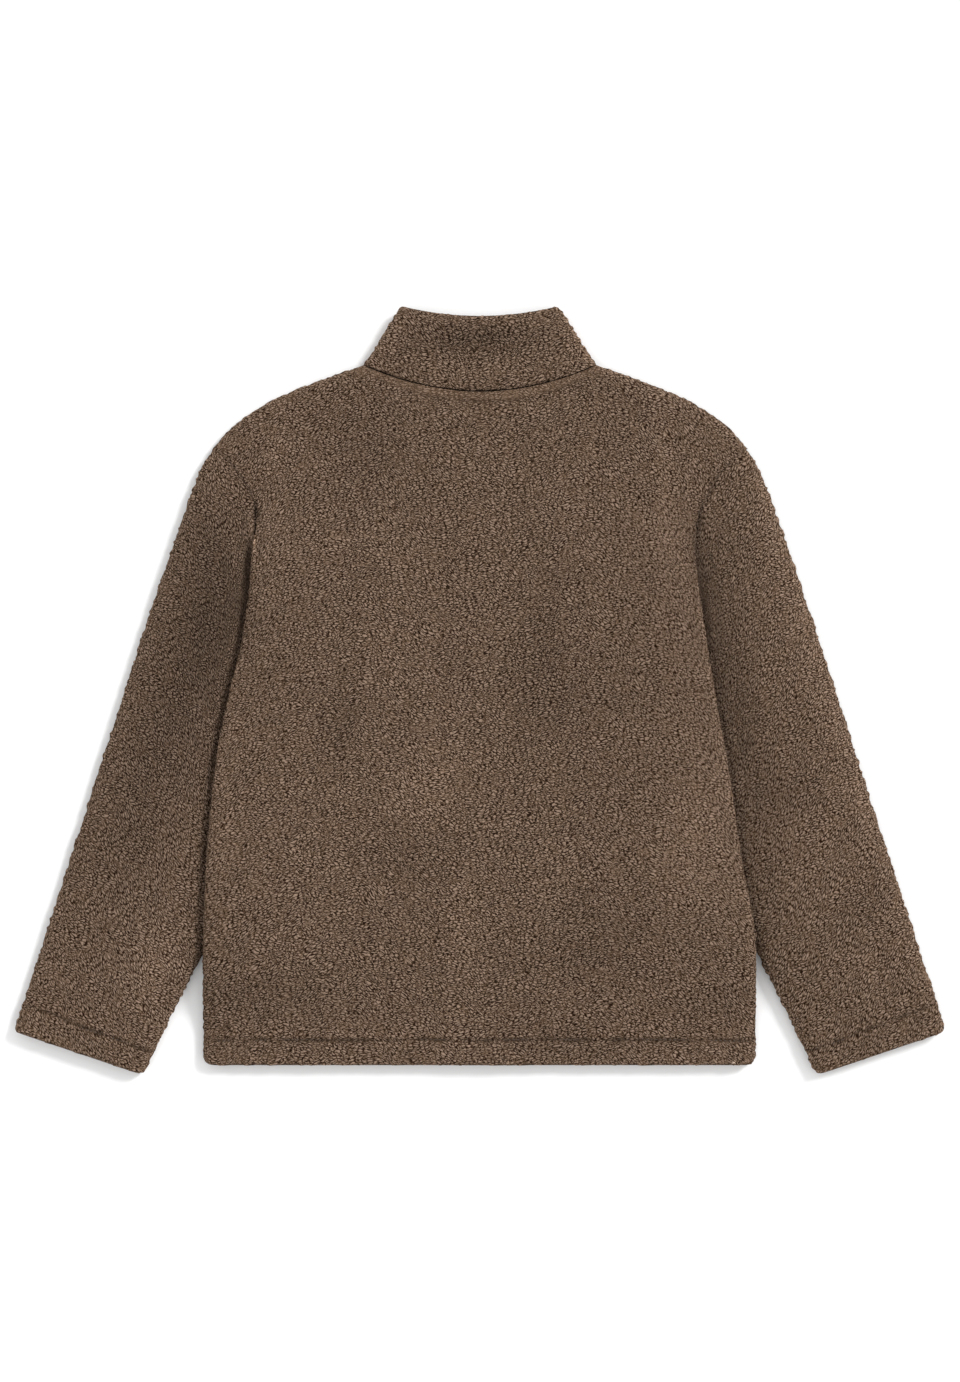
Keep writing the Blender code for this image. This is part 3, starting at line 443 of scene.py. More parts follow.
def folds_height(folds, x, y):
    """Height of the soft folds at a point."""
    height = np.zeros(np.broadcast(x, y).shape)
    for fold in folds:
        turn = np.radians(fold.turn)
        along = (x - fold.x) * np.cos(turn) + (y - fold.y) * np.sin(turn)
        across = (y - fold.y) * np.cos(turn) - (x - fold.x) * np.sin(turn)
        height = height + fold.height * np.exp(-((along / fold.length) ** 2) - (across / fold.width) ** 2)
    return height


def patch(hem, top, low_side, high_side):
    """A flat patch between four edge curves, each a function of 0 to 1 that gives x and y."""

    def place(s, t):
        corners = [
            (1 - s) * (1 - t) * hem(0.0)[k]
            + s * (1 - t) * hem(1.0)[k]
            + (1 - s) * t * top(0.0)[k]
            + s * t * top(1.0)[k]
            for k in (0, 1)
        ]
        return tuple(
            mix(hem(s)[k], top(s)[k], t) + mix(low_side(t)[k], high_side(t)[k], s) - corners[k]
            for k in (0, 1)
        )

    return place


def width_at(place, t):
    return np.hypot(*np.subtract(place(1.0, t), place(0.0, t)))


def length_at(place, s):
    return np.hypot(*np.subtract(place(s, 1.0), place(s, 0.0)))


def drawn_in(s, width, turn, wall):
    """Where a tube's inside lies across it: drawn in by the wall at its two turned edges."""
    inset = wall * np.clip(1 - np.minimum(s, 1 - s) * width / turn, 0, 1) / width
    return s + np.where(s < 0.5, inset, -inset)


def wall_points(place, at, inner_at, levels, half, upper, turned, wall, falls):
    """(outer, inner) points of an upper or lower wall, which turns in by half at soft edges."""
    outer_drop = turned * half + (1 - turned) * falls[0]
    inner_drop = wall + turned * (half - wall) - (1 - turned) * falls[1]
    face, way = (levels[1], -1) if upper else (levels[0], 1)
    faces = (at, outer_drop), (inner_at, inner_drop)
    return tuple(np.stack([*place(*where), face + way * drop], axis=-1) for where, drop in faces)


def back_neck_y(x):
    return BACK_NECK_Y + (NECK_Y - BACK_NECK_Y) * (x / NECK_X) ** 2


def front_neck_y(x):
    return FRONT_NECK_Y + (NECK_Y - FRONT_NECK_Y) * np.abs(x / NECK_X) ** FRONT_NECK_POWER


def hem_y(x):
    """Waist hem, rounded at its two corners."""
    half = np.where(x < 0, BODY_EDGE[0].left, BODY_EDGE[0].right)
    return HEM_Y + HEM_CORNER * fall(half - np.abs(x), HEM_CORNER)


def half_patch(sign, inner_x, neck_y):
    """Patch of half a body, with s from its side seam and armhole to inner_x."""
    middle_top = float(neck_y(inner_x))

    def hem(s):
        x = sign * mix(body_edges[sign](HEM_Y), inner_x, s)
        return x, hem_y(x)

    def top(s):
        x = sign * mix(SHOULDER_X, inner_x, s)
        neck = neck_y(np.clip(x, -NECK_X, NECK_X))
        return x, np.where(np.abs(x) < NECK_X, neck, shoulder_y(np.abs(x)))

    def side(t):
        y = mix(HEM_Y + HEM_CORNER, SHOULDER_Y, t)
        return sign * body_edges[sign](y), y

    return patch(hem, top, side, lambda t: (sign * inner_x, mix(HEM_Y, middle_top, t)))


def back_patch(s, t):
    """The whole back, from its left side at s = 0 to its right side at 1."""
    left = half_patch(-1, 0.0, back_neck_y)(2 * s, t)
    right = half_patch(1, 0.0, back_neck_y)(2 - 2 * s, t)
    return tuple(np.where(np.asarray(s) < 0.5, a, b) for a, b in zip(left, right))


def lift(x, y, slope=LIFT_SLOPE):
    """Height of the body's underside, which lies on the sleeves along its sides."""
    inner = sleeve_inner_x(y)
    across = ramp(np.abs(x), inner - slope, inner - LIFT_INSIDE)
    along = ramp(y, LIFT_NONE_ABOVE, LIFT_FULL_BELOW) * ramp(y, LIFT_NONE_BELOW, LIFT_FULL_ABOVE)
    return LIFT * across * along


def body_top_level(x, y):
    """Height of the back's outer face before its edges turn down."""
    crown = BACK_CROWN * ramp(np.abs(x), BACK_CROWN_OUT, BACK_CROWN_IN)
    crown = crown * ramp(y, HEM_Y, HEM_Y + BACK_CROWN_RISE) * ramp(y, BACK_CROWN_TOP, BACK_CROWN_FULL)
    above_neck = y - front_neck_y(np.clip(x, -NECK_X, NECK_X))
    over_collar = NECK_SWELL * ramp(above_neck, -NECK_SWELL_BELOW, -NECK_SWELL_ABOVE)
    over_zip = ZIP_SWELL * ramp(np.abs(x), ZIP_SWELL_OUT, ZIP_SWELL_IN)
    over_hem = HEM_SWELL * ramp(y - HEM_Y, HEM_DEPTH + HEM_SWELL_REACH, HEM_DEPTH)
    swell = np.maximum(np.maximum(crown, over_zip), over_collar)
    return lift(x, y, BACK_SLOPE) + LAID + swell + over_hem + folds_height(BODY_FOLDS, x, y)


def hem_wall(distance):
    """Wall near a hem, where the cloth is doubled and pressed."""
    return WALL + HEM_EXTRA * ramp(distance, HEM_DEPTH + HEM_FADE, HEM_DEPTH)


def hem_relief(distance):
    """(fall of the outer face, fall of the inner face) near a hem: its fold and its stitches."""
    rounded = HEM_ROUND * fall(distance, HEM_ROUND_REACH)
    stitched = STITCH_DEPTH * np.exp(-(((distance - HEM_DEPTH) / STITCH_REACH) ** 2))
    return rounded + stitched, rounded


def body_panel(place, s, t, side_edges, zip_edge=None):
    """(outer, inner) points of the back, or of a front, which has a zip_edge.

    side_edges and zip_edge are values of s.
    """
    x, y = place(s, t)
    width = width_at(place, t)
    length = length_at(place, s)
    from_top, from_hem = (1 - t) * length, t * length
    rolled_side = ramp(y, ARMHOLE_LOW, SIDE_SEAM_TOP)
    rolled_top = ramp(np.abs(x), NECK_X - NECK_ROLL_IN, NECK_X + NECK_ROLL_OUT)
    from_sides = {edge: np.abs(s - edge) * width for edge in side_edges}
    nearest_side = np.minimum.reduce(list(from_sides.values()))
    turned_side, turned_top = fall(nearest_side, BODY_TURN), fall(from_top, SHOULDER_TURN)
    turned = np.maximum(rolled_side * turned_side, rolled_top * turned_top)
    creased_side, creased_top = fall(nearest_side, CREASE_REACH), fall(from_top, CREASE_REACH)
    creased = np.maximum((1 - rolled_side) * creased_side, (1 - rolled_top) * creased_top)
    wall = hem_wall(from_hem)
    outer_fall, inner_fall = hem_relief(from_hem)
    if zip_edge is not None:
        from_zip = np.abs(s - zip_edge) * width
        wall = wall + ZIP_TURN * ramp(from_zip, ZIP_TURN_REACH + ZIP_TURN_FADE, ZIP_TURN_REACH)
        zip_fall = ZIP_EDGE_FALL * fall(from_zip, ZIP_EDGE_REACH)
        outer_fall = np.maximum(outer_fall, zip_fall)
        inner_fall = np.maximum(inner_fall, zip_fall)

    low, high = lift(x, y), body_top_level(x, y)
    half = (high - low) / 2 - SEAM / 2
    inset_s = sum(
        rolled_side * wall * np.clip(1 - away / BODY_TURN, 0, 1) / width * (1 if edge == 0 else -1)
        for edge, away in from_sides.items()
    )
    inset_t = rolled_top * wall * np.clip(1 - from_top / SHOULDER_TURN, 0, 1) / length
    inner_at = s + inset_s, t - inset_t
    falls = outer_fall + CREASE * creased, inner_fall
    upper = zip_edge is None
    return wall_points(place, (s, t), inner_at, (low, high), half, upper, turned, wall, falls)


def sleeve_patch(sign):
    """Patch of a sleeve laid flat, from cuff to armhole, with s from its outer to its underarm edge."""
    edge = body_edges[sign]
    cuff_long = np.hypot(CUFF_OUT_X - CUFF_IN_X, CUFF_OUT_Y - CUFF_IN_Y)
    up_x, up_y = (CUFF_IN_Y - CUFF_OUT_Y) / cuff_long, (CUFF_OUT_X - CUFF_IN_X) / cuff_long
    beside_body = [Point(edge(y) + SEAM_SIDE, y) for y in np.linspace(SHOULDER_Y, DIVE_Y, ARMHOLE_POINTS)]
    bend = Point(mix(edge(DIVE_Y), UNDERARM_X, UNDERARM_BEND), UNDERARM_BEND_Y)
    armhole = smooth_curve([*beside_body, bend, Point(UNDERARM_X, UNDERARM_Y)], "y", "x")

    def cuff(s):
        rounded = CUFF_CORNER * fall(np.minimum(s, 1 - s) * cuff_long, CUFF_CORNER)
        x = mix(CUFF_OUT_X, CUFF_IN_X, s) + rounded * up_x
        return sign * x, mix(CUFF_OUT_Y, CUFF_IN_Y, s) + rounded * up_y

    def top(s):
        y = mix(SHOULDER_Y, UNDERARM_Y, s)
        return sign * armhole(y), y

    def outer(t):
        y = mix(cuff(0.0)[1], SHOULDER_Y, t)
        return sign * (sleeve_outer_x(y) + SEAM_SIDE * t), y

    def inner(t):
        y = mix(cuff(1.0)[1], UNDERARM_Y, t)
        return sign * sleeve_inner_x(y), y

    return patch(cuff, top, outer, inner)


def sleeve_crown(sign, x, y):
    """How far the part of a sleeve beside the body stands up between its two edges."""
    edge = body_edges[sign]
    inner = np.maximum(sleeve_inner_x(y), np.where(y > HEM_Y + HEM_CORNER, edge(y), 0))
    width = np.maximum(sleeve_outer_x(y) - inner, SEAM)
    share = np.clip((np.abs(x) - inner) / width, 0, 1)
    return CROWN * 4 * share * (1 - share)


def sleeve_layer(sign, s, t, upper):
    """(outer, inner) points of a sleeve's upper or lower layer. They meet at the two folded edges."""
    place = sleeve_patch(sign)
    x, y = place(s, t)
    width = width_at(place, t)
    length = length_at(place, s)
    from_side, from_cuff = np.minimum(s, 1 - s) * width, t * length
    turned = fall(from_side, SLEEVE_TURN)
    wall = hem_wall(from_cuff)
    outer_fall, inner_fall = hem_relief(from_cuff)
    over_hem = HEM_SWELL * ramp(from_cuff, HEM_DEPTH + HEM_SWELL_REACH, HEM_DEPTH)
    crown_ends = ramp(from_cuff, 0, CROWN_CUFF) * ramp((1 - t) * length, 0, CROWN_ARMHOLE)
    crown = sleeve_crown(sign, x, y) * crown_ends
    high = LAID + folds_height(SLEEVE_FOLDS[sign], x, y) + over_hem + crown
    creased = CREASE * fall((1 - t) * length, CREASE_REACH) if upper else 0.0
    inner_at = drawn_in(s, width, SLEEVE_TURN, wall), t
    falls = outer_fall + creased, inner_fall
    return wall_points(place, (s, t), inner_at, (0.0, high), high / 2, upper, turned, wall, falls)


def collar_patch(neck_y, dip_y):
    """Patch of one layer of the collar, from the neck seam to its top edge."""
    top_corner_y = COLLAR_TOP_Y - COLLAR_CORNER

    def seam(s):
        x = mix(-NECK_X, NECK_X, s)
        return x, neck_y(x) + COLLAR_SEAM

    def top(s):
        x = mix(-COLLAR_TOP_X, COLLAR_TOP_X, s)
        dipped = mix(dip_y, COLLAR_TOP_Y, (x / COLLAR_TOP_X) ** 2)
        return x, dipped - COLLAR_CORNER * fall(COLLAR_TOP_X - np.abs(x), COLLAR_CORNER)

    def side(sign):
        return lambda t: (sign * mix(NECK_X, COLLAR_TOP_X, t), mix(NECK_Y + COLLAR_SEAM, top_corner_y, t))

    return patch(seam, top, side(-1), side(1))


def collar_layer(s, t, upper):
    """(outer, inner) points of the collar's back (upper) or front (lower) layer."""
    neck_y, dip_y = (back_neck_y, COLLAR_DIP_Y) if upper else (front_neck_y, COLLAR_FRONT_DIP_Y)
    place = collar_patch(neck_y, dip_y)
    x, y = place(s, t)
    width = width_at(place, t)
    length = length_at(place, s)
    from_side, from_top, from_seam = np.minimum(s, 1 - s) * width, (1 - t) * length, t * length
    turned = fall(from_side, COLLAR_TURN)
    risen = ramp(t, 0.0, COLLAR_RISE)
    wall = mix(WALL, COLLAR_WALL, risen)
    high = mix(COLLAR_SEAM_LEVEL, 2 * COLLAR_WALL + COLLAR_AIR, risen)
    if upper:
        high = high + folds_height(COLLAR_FOLDS, x, y)
    rounded = HEM_ROUND * fall(from_top, HEM_ROUND_REACH)
    creased = CREASE * fall(from_seam, CREASE_REACH) if upper else 0.0
    inner_at = drawn_in(s, width, COLLAR_TURN, wall), t
    falls = rounded + creased, rounded
    return wall_points(place, (s, t), inner_at, (0.0, high), high / 2, upper, turned, wall, falls)


neck_shows = smooth_curve(NECK_SHOWS, "x", "share")

rng = np.random.default_rng(NOISE_SEED)
SHUFFLE = rng.permutation(NOISE_SIZE)
GRADIENTS = rng.normal(size=(NOISE_SIZE, 3))
GRADIENTS /= np.linalg.norm(GRADIENTS, axis=1)[:, None]


def noise(points, size, seed):
    """Smooth gradient noise of one cell size at each point, about -0.7 to 0.7."""
    p = np.asarray(points) / size + NOISE_SHIFT * seed
    cell = np.floor(p).astype(np.int64)
    f = p - cell
    ease = f * f * f * (f * (f * 6 - 15) + 10)
    total = np.zeros(p.shape[:-1])
    for corner in np.ndindex(2, 2, 2):
        c = cell + corner
        index = SHUFFLE[(c[..., 0] + seed) % NOISE_SIZE]
        index = SHUFFLE[(index + c[..., 1]) % NOISE_SIZE]
        index = SHUFFLE[(index + c[..., 2]) % NOISE_SIZE]
        away = f - corner
        weight = np.prod(np.where(np.array(corner) == 1, ease, 1 - ease), axis=-1)
        total += weight * np.sum(GRADIENTS[index] * away, axis=-1)
    return total * NOISE_GAIN


def curls(points, seed):
    """Height of the curly pile at each point, 0 in the pits to 1 on the curls."""
    warp = np.stack([noise(points, WARP_CELL, seed + k) for k in (1, 2, 3)], axis=-1)
    bent = points + WARP * warp
    height = CURL_LEVEL + CURL_GAIN * noise(bent, CURL, seed + 4)
    height = height + CURL_FINE_GAIN * noise(bent, CURL_FINE, seed + 5)
    height = height + CLUMP_GAIN * noise(points, CLUMP, seed + 6)
    return np.clip(height, 0, 1)


def stations(span, cell, fine_at, reach=EDGE_REACH):
    """Places from 0 to 1 along a span, a cell apart and closer near the given distances."""
    x = np.linspace(0, span, STATION_SAMPLES)
    density = np.ones_like(x)
    for place in fine_at:
        density += EDGE_EXTRA * np.exp(-np.abs(x - place) / reach)
    total = np.concatenate([[0], np.cumsum((density[1:] + density[:-1]) / 2 * np.diff(x))])
    count = int(math.ceil(total[-1] / cell / INNER_STEP)) * INNER_STEP
    return np.interp(np.linspace(0, total[-1], count + 1), total, x) / span


def normals_of(points, ring):
    """Unit normals of a grid of points."""
    if ring:
        across = np.roll(points, -1, axis=1) - np.roll(points, 1, axis=1)
    else:
        across = np.gradient(points, axis=1)
    along = np.gradient(points, axis=0)
    normal = np.cross(across, along)
    return normal / np.maximum(np.linalg.norm(normal, axis=-1, keepdims=True), 1e-12)


def strip_faces(outer_run, inner_run, flip):
    """Faces between a fine edge and a coarse one with every INNER_STEP-th of its points."""
    faces = []
    for i in range(len(inner_run) - 1):
        fine = outer_run[i * INNER_STEP : (i + 1) * INNER_STEP + 1]
        face = [*fine, inner_run[i + 1], inner_run[i]]
        faces.append(face[::-1] if flip else face)
    return faces


def grid_faces(index, flip):
    a, b, c, d = index[:-1, :-1], index[:-1, 1:], index[1:, 1:], index[1:, :-1]
    faces = np.stack([a, d, c, b] if flip else [a, b, c, d], axis=-1).reshape(-1, 4)
    return faces.tolist()


def wall_faces(shape, ring, flip):
    """Faces of a wall with an outer grid of the given shape and a coarser inner one."""
    index = np.arange(shape[0] * shape[1]).reshape(shape)
    coarse_shape = index[::INNER_STEP, ::INNER_STEP].shape
    coarse = index.size + np.arange(coarse_shape[0] * coarse_shape[1]).reshape(coarse_shape)
    if ring:
        index = np.concatenate([index, index[:, :1]], axis=1)
        coarse = np.concatenate([coarse, coarse[:, :1]], axis=1)
    faces = grid_faces(index, flip) + grid_faces(coarse, not flip)
    faces += strip_faces(index[0], coarse[0], not flip)
    faces += strip_faces(index[-1], coarse[-1], flip)
    if not ring:
        faces += strip_faces(index[:, 0], coarse[:, 0], flip)
        faces += strip_faces(index[:, -1], coarse[:, -1], not flip)
    return faces


def add_object(name, data):
    made = bpy.data.objects.new(name, data)
    bpy.context.scene.collection.objects.link(made)
    return made


def add_mesh(name, points, faces, finishes):
    """A new mesh object, with a material slot for each finish."""
    mesh = bpy.data.meshes.new(name)
    mesh.from_pydata(points, [], faces)
    for finish in finishes:
        mesh.materials.append(finish)
    return add_object(name, mesh)


def cut_places(points, seed):
    """Where each point of a grid lies on the flat cloth, measured from its middle."""
    across = np.cumsum(np.linalg.norm(np.diff(points, axis=1, prepend=points[:, :1]), axis=-1), axis=1)
    along = np.cumsum(np.linalg.norm(np.diff(points, axis=0, prepend=points[:1]), axis=-1), axis=0)
    rows, columns = across.shape
    across = across - across[:, columns // 2][:, None] + seed * CUT_APART
    along = along - along[rows // 2][None, :] + seed * CUT_APART
    return np.stack([across, along, 0 * along], axis=-1)


def cloth(node_name, outer, inner, pressed, sewn_and_shaded, nap_and_shade, ring, finish):
    """A wall of fleece: a fine pile surface outside and a plain coarse one inside."""
    seed = CUTS[node_name].seed
    normal = normals_of(outer, ring)
    cut = cut_places(outer, seed)
    height = curls(outer, seed)
    height = mix(height, PRESSED_LEVEL + PRESSED_LEFT * (height - PRESSED_LEVEL), pressed)
    side = np.sign(np.sum(normal * (outer - inner), axis=-1).mean())
    steep = 1 - np.abs(normal[..., 2])
    # shade holds the nap patches with their painted shade and painted light, painted shade in stitch
    # grooves and creases, and painted sheen on steep turned edges; the material multiplies it into the
    # colour
    shade = 1 + NAP_AND_SHADE_GAIN * folds_height(nap_and_shade, outer[..., 0], outer[..., 1])
    shade = shade * (1 - SEWN_PAINTED_SHADE * sewn_and_shaded) * (1 + PRESSED_SHADE * pressed * (1 - sewn_and_shaded))
    shade = shade * (1 + RIM_PAINTED_SHEEN * steep)
    depth = PILE * (1 - PRESSED_THIN * pressed) * (1 + RIM_PILE * steep)
    piled = outer + side * normal * ((height - PILE_TOP) * depth - SEWN_DEEP * sewn_and_shaded)[..., None]
    piled[..., 2] = np.maximum(piled[..., 2], 0)
    coarse = inner[::INNER_STEP, ::INNER_STEP].reshape(-1, 3)
    points = np.concatenate([piled.reshape(-1, 3), coarse])
    faces = wall_faces(outer.shape[:2], ring, side < 0)
    made = add_mesh(f"{node_name}_pile", points.tolist(), faces, [finish])
    mesh = made.data
    values_of = {"pile": (height, INSIDE_PILE), "nap_and_shade": (shade, 1.0), "pressed": (pressed, 0.0)}
    for title, (outside, inside) in values_of.items():
        values = np.concatenate([outside.ravel(), np.full(len(coarse), inside)])
        mesh.attributes.new(title, "FLOAT", "POINT").data.foreach_set("value", values.astype(np.float32))
    places = np.concatenate([cut.reshape(-1, 3), cut[::INNER_STEP, ::INNER_STEP].reshape(-1, 3) + WALL])
    attribute = mesh.attributes.new("cut", "FLOAT_VECTOR", "POINT")
    attribute.data.foreach_set("vector", places.astype(np.float32).ravel())
    mesh.shade_smooth()
    return made


def near(distance, place, reach):
    return np.exp(-(((distance - place) / reach) ** 2))


def sewn_line(distance, place, x, y, seed):
    """The groove of a row of stitches, a little wavy and uneven in depth, which cloth also darkens with
    painted shade.
    """
    points = np.stack([x, y, 0 * x], axis=-1)
    wavy = distance + SEWN_WAVE * noise(points, SEWN_WAVE_CELL, seed)
    broken = SEWN_EVEN + SEWN_BREAK * noise(points, SEWN_BREAK_CELL, seed + 1)
    return near(wavy, place, SEWN_REACH) * np.clip(broken, SEWN_LEAST, 1)


def make_panel(node_name, place, columns, cell, side_edges, finish, zip_edge=None):
    rows = stations(BODY_LONG, cell, (0, HEM_DEPTH, BODY_LONG - BAND, BODY_LONG))
    s, t = np.meshgrid(columns, rows)
    outer, inner = body_panel(place, s, t, side_edges, zip_edge)
    x, y = place(s, t)
    length = length_at(place, s)
    from_top, from_hem = (1 - t) * length, t * length
    seed = CUTS[node_name].seed
    under_collar = ramp(NECK_X + BAND_PAST - np.abs(x), 0, BAND_FADE)
    band = under_collar * ramp(from_top, BAND + BAND_SOFT, BAND)
    hem_line = sewn_line(from_hem, HEM_DEPTH, x, y, seed + HEM_SEED)
    band_line = BAND_LINE * sewn_line(from_top, BAND, x, y, seed + BAND_SEED)
    neck_line = NECK_LINE * neck_shows(x) * near(from_top, 0, NECK_LINE_REACH)
    # Stitch grooves and the neck seam: deepened, and darkened with painted shade
    sewn_and_shaded = np.maximum(hem_line, under_collar * np.maximum(band_line, neck_line))
    pressed = np.clip(np.maximum(hem_line, band), 0, 1)
    return cloth(node_name, outer, inner, pressed, sewn_and_shaded, [] if zip_edge else BODY_NAP_AND_SHADE, False, finish)


def make_back(finish):
    half = stations(SHOULDER_X, CELL_TOP, (0,), SIDE_REACH)
    columns = np.concatenate([half / 2, 1 - half[-2::-1] / 2])
    return make_panel("back", back_patch, columns, CELL_TOP, (0, 1), finish)


def make_front(sign, node_name, finish):
    columns = stations(SHOULDER_X, CELL_UNDER, (0, SHOULDER_X), SIDE_REACH)
    place = half_patch(sign, ZIP_HALF, front_neck_y)
    return make_panel(node_name, place, columns, CELL_UNDER, (0,), finish, zip_edge=1)


def make_sleeve(sign, node_name, finish):
    columns = stations(SLEEVE_WIDE, CELL_TOP, (0, SLEEVE_WIDE), SIDE_REACH)
    under = stations(SLEEVE_WIDE, CELL_UNDER, (0, SLEEVE_WIDE), SIDE_REACH)
    rows = stations(SLEEVE_LONG, CELL_TOP, (0, HEM_DEPTH, SLEEVE_LONG))
    top = sleeve_layer(sign, *np.meshgrid(columns, rows), upper=True)
    low = sleeve_layer(sign, *np.meshgrid(under[-2:0:-1], rows), upper=False)
    outer, inner = (np.concatenate(layers, axis=1) for layers in zip(top, low))
    x, y = outer[..., 0], outer[..., 1]
    from_cuff = rows[:, None] * SLEEVE_LONG + 0 * x
    sewn_and_shaded = sewn_line(from_cuff, HEM_DEPTH, x, y, CUTS[node_name].seed + HEM_SEED)
    # Painted shade and a deeper groove along the crease beside the body's edge, on the upper layer
    from_body = np.abs(x) - body_edges[sign](y)
    beside_body = near(from_body, BESIDE_OUT, BESIDE_REACH) * ramp(y, BESIDE_TOP, BESIDE_FULL)
    on_top = np.arange(outer.shape[1]) < len(columns)
    shaded = np.maximum(sewn_and_shaded, BESIDE_BODY_SHADE * beside_body * on_top)
    return cloth(node_name, outer, inner, sewn_and_shaded, shaded, SLEEVE_NAP_AND_SHADE[sign], True, finish)


def make_collar(finish):
    """The collar from its left end at the zip, over the back of the neck, to its right end."""
    width, tall = 2 * NECK_X, COLLAR_DIP_Y - BACK_NECK_Y
    columns = stations(width, CELL_COLLAR, (0, width), SIDE_REACH)
    rows = stations(tall, CELL_COLLAR, (0, tall))
    top = collar_layer(*np.meshgrid(columns, rows), upper=True)
    half_width = mix(NECK_X, COLLAR_TOP_X, rows)[:, None]
    zip_s = 0.5 - ZIP_HALF / (2 * half_width)
    share = stations(width / 2, CELL_UNDER, (0, width / 2), SIDE_REACH)[1:][None, :]
    front_s, front_t = share * zip_s, rows[:, None] + 0 * share
    left = collar_layer(front_s[:, ::-1], front_t, upper=False)
    right = collar_layer(1 - front_s, front_t, upper=False)
    outer, inner = (np.concatenate(parts, axis=1) for parts in zip(left, top, right))
    plain = np.zeros(outer.shape[:2])
    from_seam = rows[:, None] * tall + plain
    # The neck seam: deepened, and darkened with painted shade
    sewn_and_shaded = NECK_LINE * neck_shows(outer[..., 0]) * near(from_seam, 0, NECK_LINE_REACH)
    return cloth("collar", outer, inner, plain, sewn_and_shaded, COLLAR_NAP_AND_SHADE, False, finish)


# Materials


def feed(tree, node, settings):
    """Link or set a node's inputs, each by its name or number. A tuple is a colour."""
    for title, value in settings.items():
        socket = node.inputs[title]
        if isinstance(value, bpy.types.NodeSocket):
            tree.links.new(value, socket)
        elif isinstance(value, tuple):
            socket.default_value = (*value, 1.0)
        elif value is not None:
            socket.default_value = value


def new_node(tree, kind, settings, **modes):
    """A new shader node, with its modes chosen and then its inputs fed."""
    made = tree.nodes.new(f"ShaderNode{kind}")
    for title, mode in modes.items():
        setattr(made, title, mode)
    feed(tree, made, settings)
    return made


def math_node(tree, operation, a, b=None, clamp=False):
    return new_node(tree, "Math", {0: a, 1: b}, operation=operation, use_clamp=clamp).outputs[0]


def scaled(tree, value, times, plus, clamp=False):
    return math_node(tree, "ADD", math_node(tree, "MULTIPLY", value, times), plus, clamp)


def centred(tree, value, times, plus):
    """A noise value taken about its middle, scaled, and kept between 0 and 1."""
    return scaled(tree, math_node(tree, "SUBTRACT", value, 0.5), times, plus, clamp=True)


def mix_value(tree, share, a, b):
    return new_node(tree, "Mix", {0: share, 2: a, 3: b}).outputs[0]


def mix_colour(tree, share, a, b, blend="MIX"):
    modes = {"data_type": "RGBA", "blend_type": blend}
    return new_node(tree, "Mix", {0: share, 6: a, 7: b}, **modes).outputs[2]


def noise_node(tree, vector, cells, detail=2.0, rough=0.5, bend=0.0, flat=False, output="Fac"):
    """Noise with so many cells a metre, on the flat cloth or in space."""
    look = {"Vector": vector, "Scale": cells, "Detail": detail, "Roughness": rough, "Distortion": bend}
    return new_node(tree, "TexNoise", look, noise_dimensions="2D" if flat else "3D").outputs[output]


def warped(tree, vector, cells, amount):
    """The vector pushed about by smooth noise, so that a pattern on it flows and curls."""
    push = noise_node(tree, vector, cells, 1.0, flat=True, output="Color")
    settings = {0: push, 1: [2 * amount] * 3, 2: vector}
    return new_node(tree, "VectorMath", settings, operation="MULTIPLY_ADD").outputs[0]


def add_bump(tree, shader, height, strength, distance):
    bump = new_node(tree, "Bump", {"Strength": strength, "Distance": distance, "Height": height})
    feed(tree, shader, {"Normal": bump.outputs["Normal"]})


def new_material(name):
    made = bpy.data.materials.new(name)
    made.use_nodes = True
    return made, made.node_tree, made.node_tree.nodes["Principled BSDF"]


def object_place(tree):
    return new_node(tree, "TexCoord", {}).outputs["Object"]


def read_attribute(tree, title, output="Fac"):
    return new_node(tree, "Attribute", {}, attribute_name=title).outputs[output]


def curl_height(tree, flow, turn):
    """Short curls that lie one way: lumps with thin gaps, broken up by finer ones. The colour ramp
    darkens the gaps with painted shade.
    """
    laid = {"Vector": flow, "Rotation": [0, 0, math.radians(turn)], "Scale": [1.0, CURL_LONG, 1.0]}
    lay = new_node(tree, "Mapping", laid, vector_type="TEXTURE").outputs[0]
    fine = noise_node(tree, lay, CURL_CELLS, 0.0, 0.5, FINE_BEND, True)
    cells = {"Vector": lay, "Scale": LUMP_CELLS, "Randomness": LUMP_SPREAD}
    modes = {"voronoi_dimensions": "2D", "feature": "DISTANCE_TO_EDGE"}
    lump = new_node(tree, "TexVoronoi", cells, **modes).outputs["Distance"]
    lump = math_node(tree, "MULTIPLY", lump, LUMP_GAIN, clamp=True)
    lump = scaled(tree, lump, 1 - LUMP_FLOOR, LUMP_FLOOR)
    return math_node(tree, "MULTIPLY", centred(tree, fine, FINE_GAIN, FINE_LEVEL), lump)


def pile_colour_with_pit_shade(tree, height):
    """The pile's colour from its pits, darkened with painted shade, to its tips."""
    colours = new_node(tree, "ValToRGB", {"Fac": height})
    elements = colours.color_ramp.elements
    while len(elements) < len(PILE_STOPS):
        elements.new(0.5)
    for element, (position, colour) in zip(elements, PILE_STOPS):
        element.position, element.color = position, (*colour, 1.0)
    return colours.outputs["Color"]


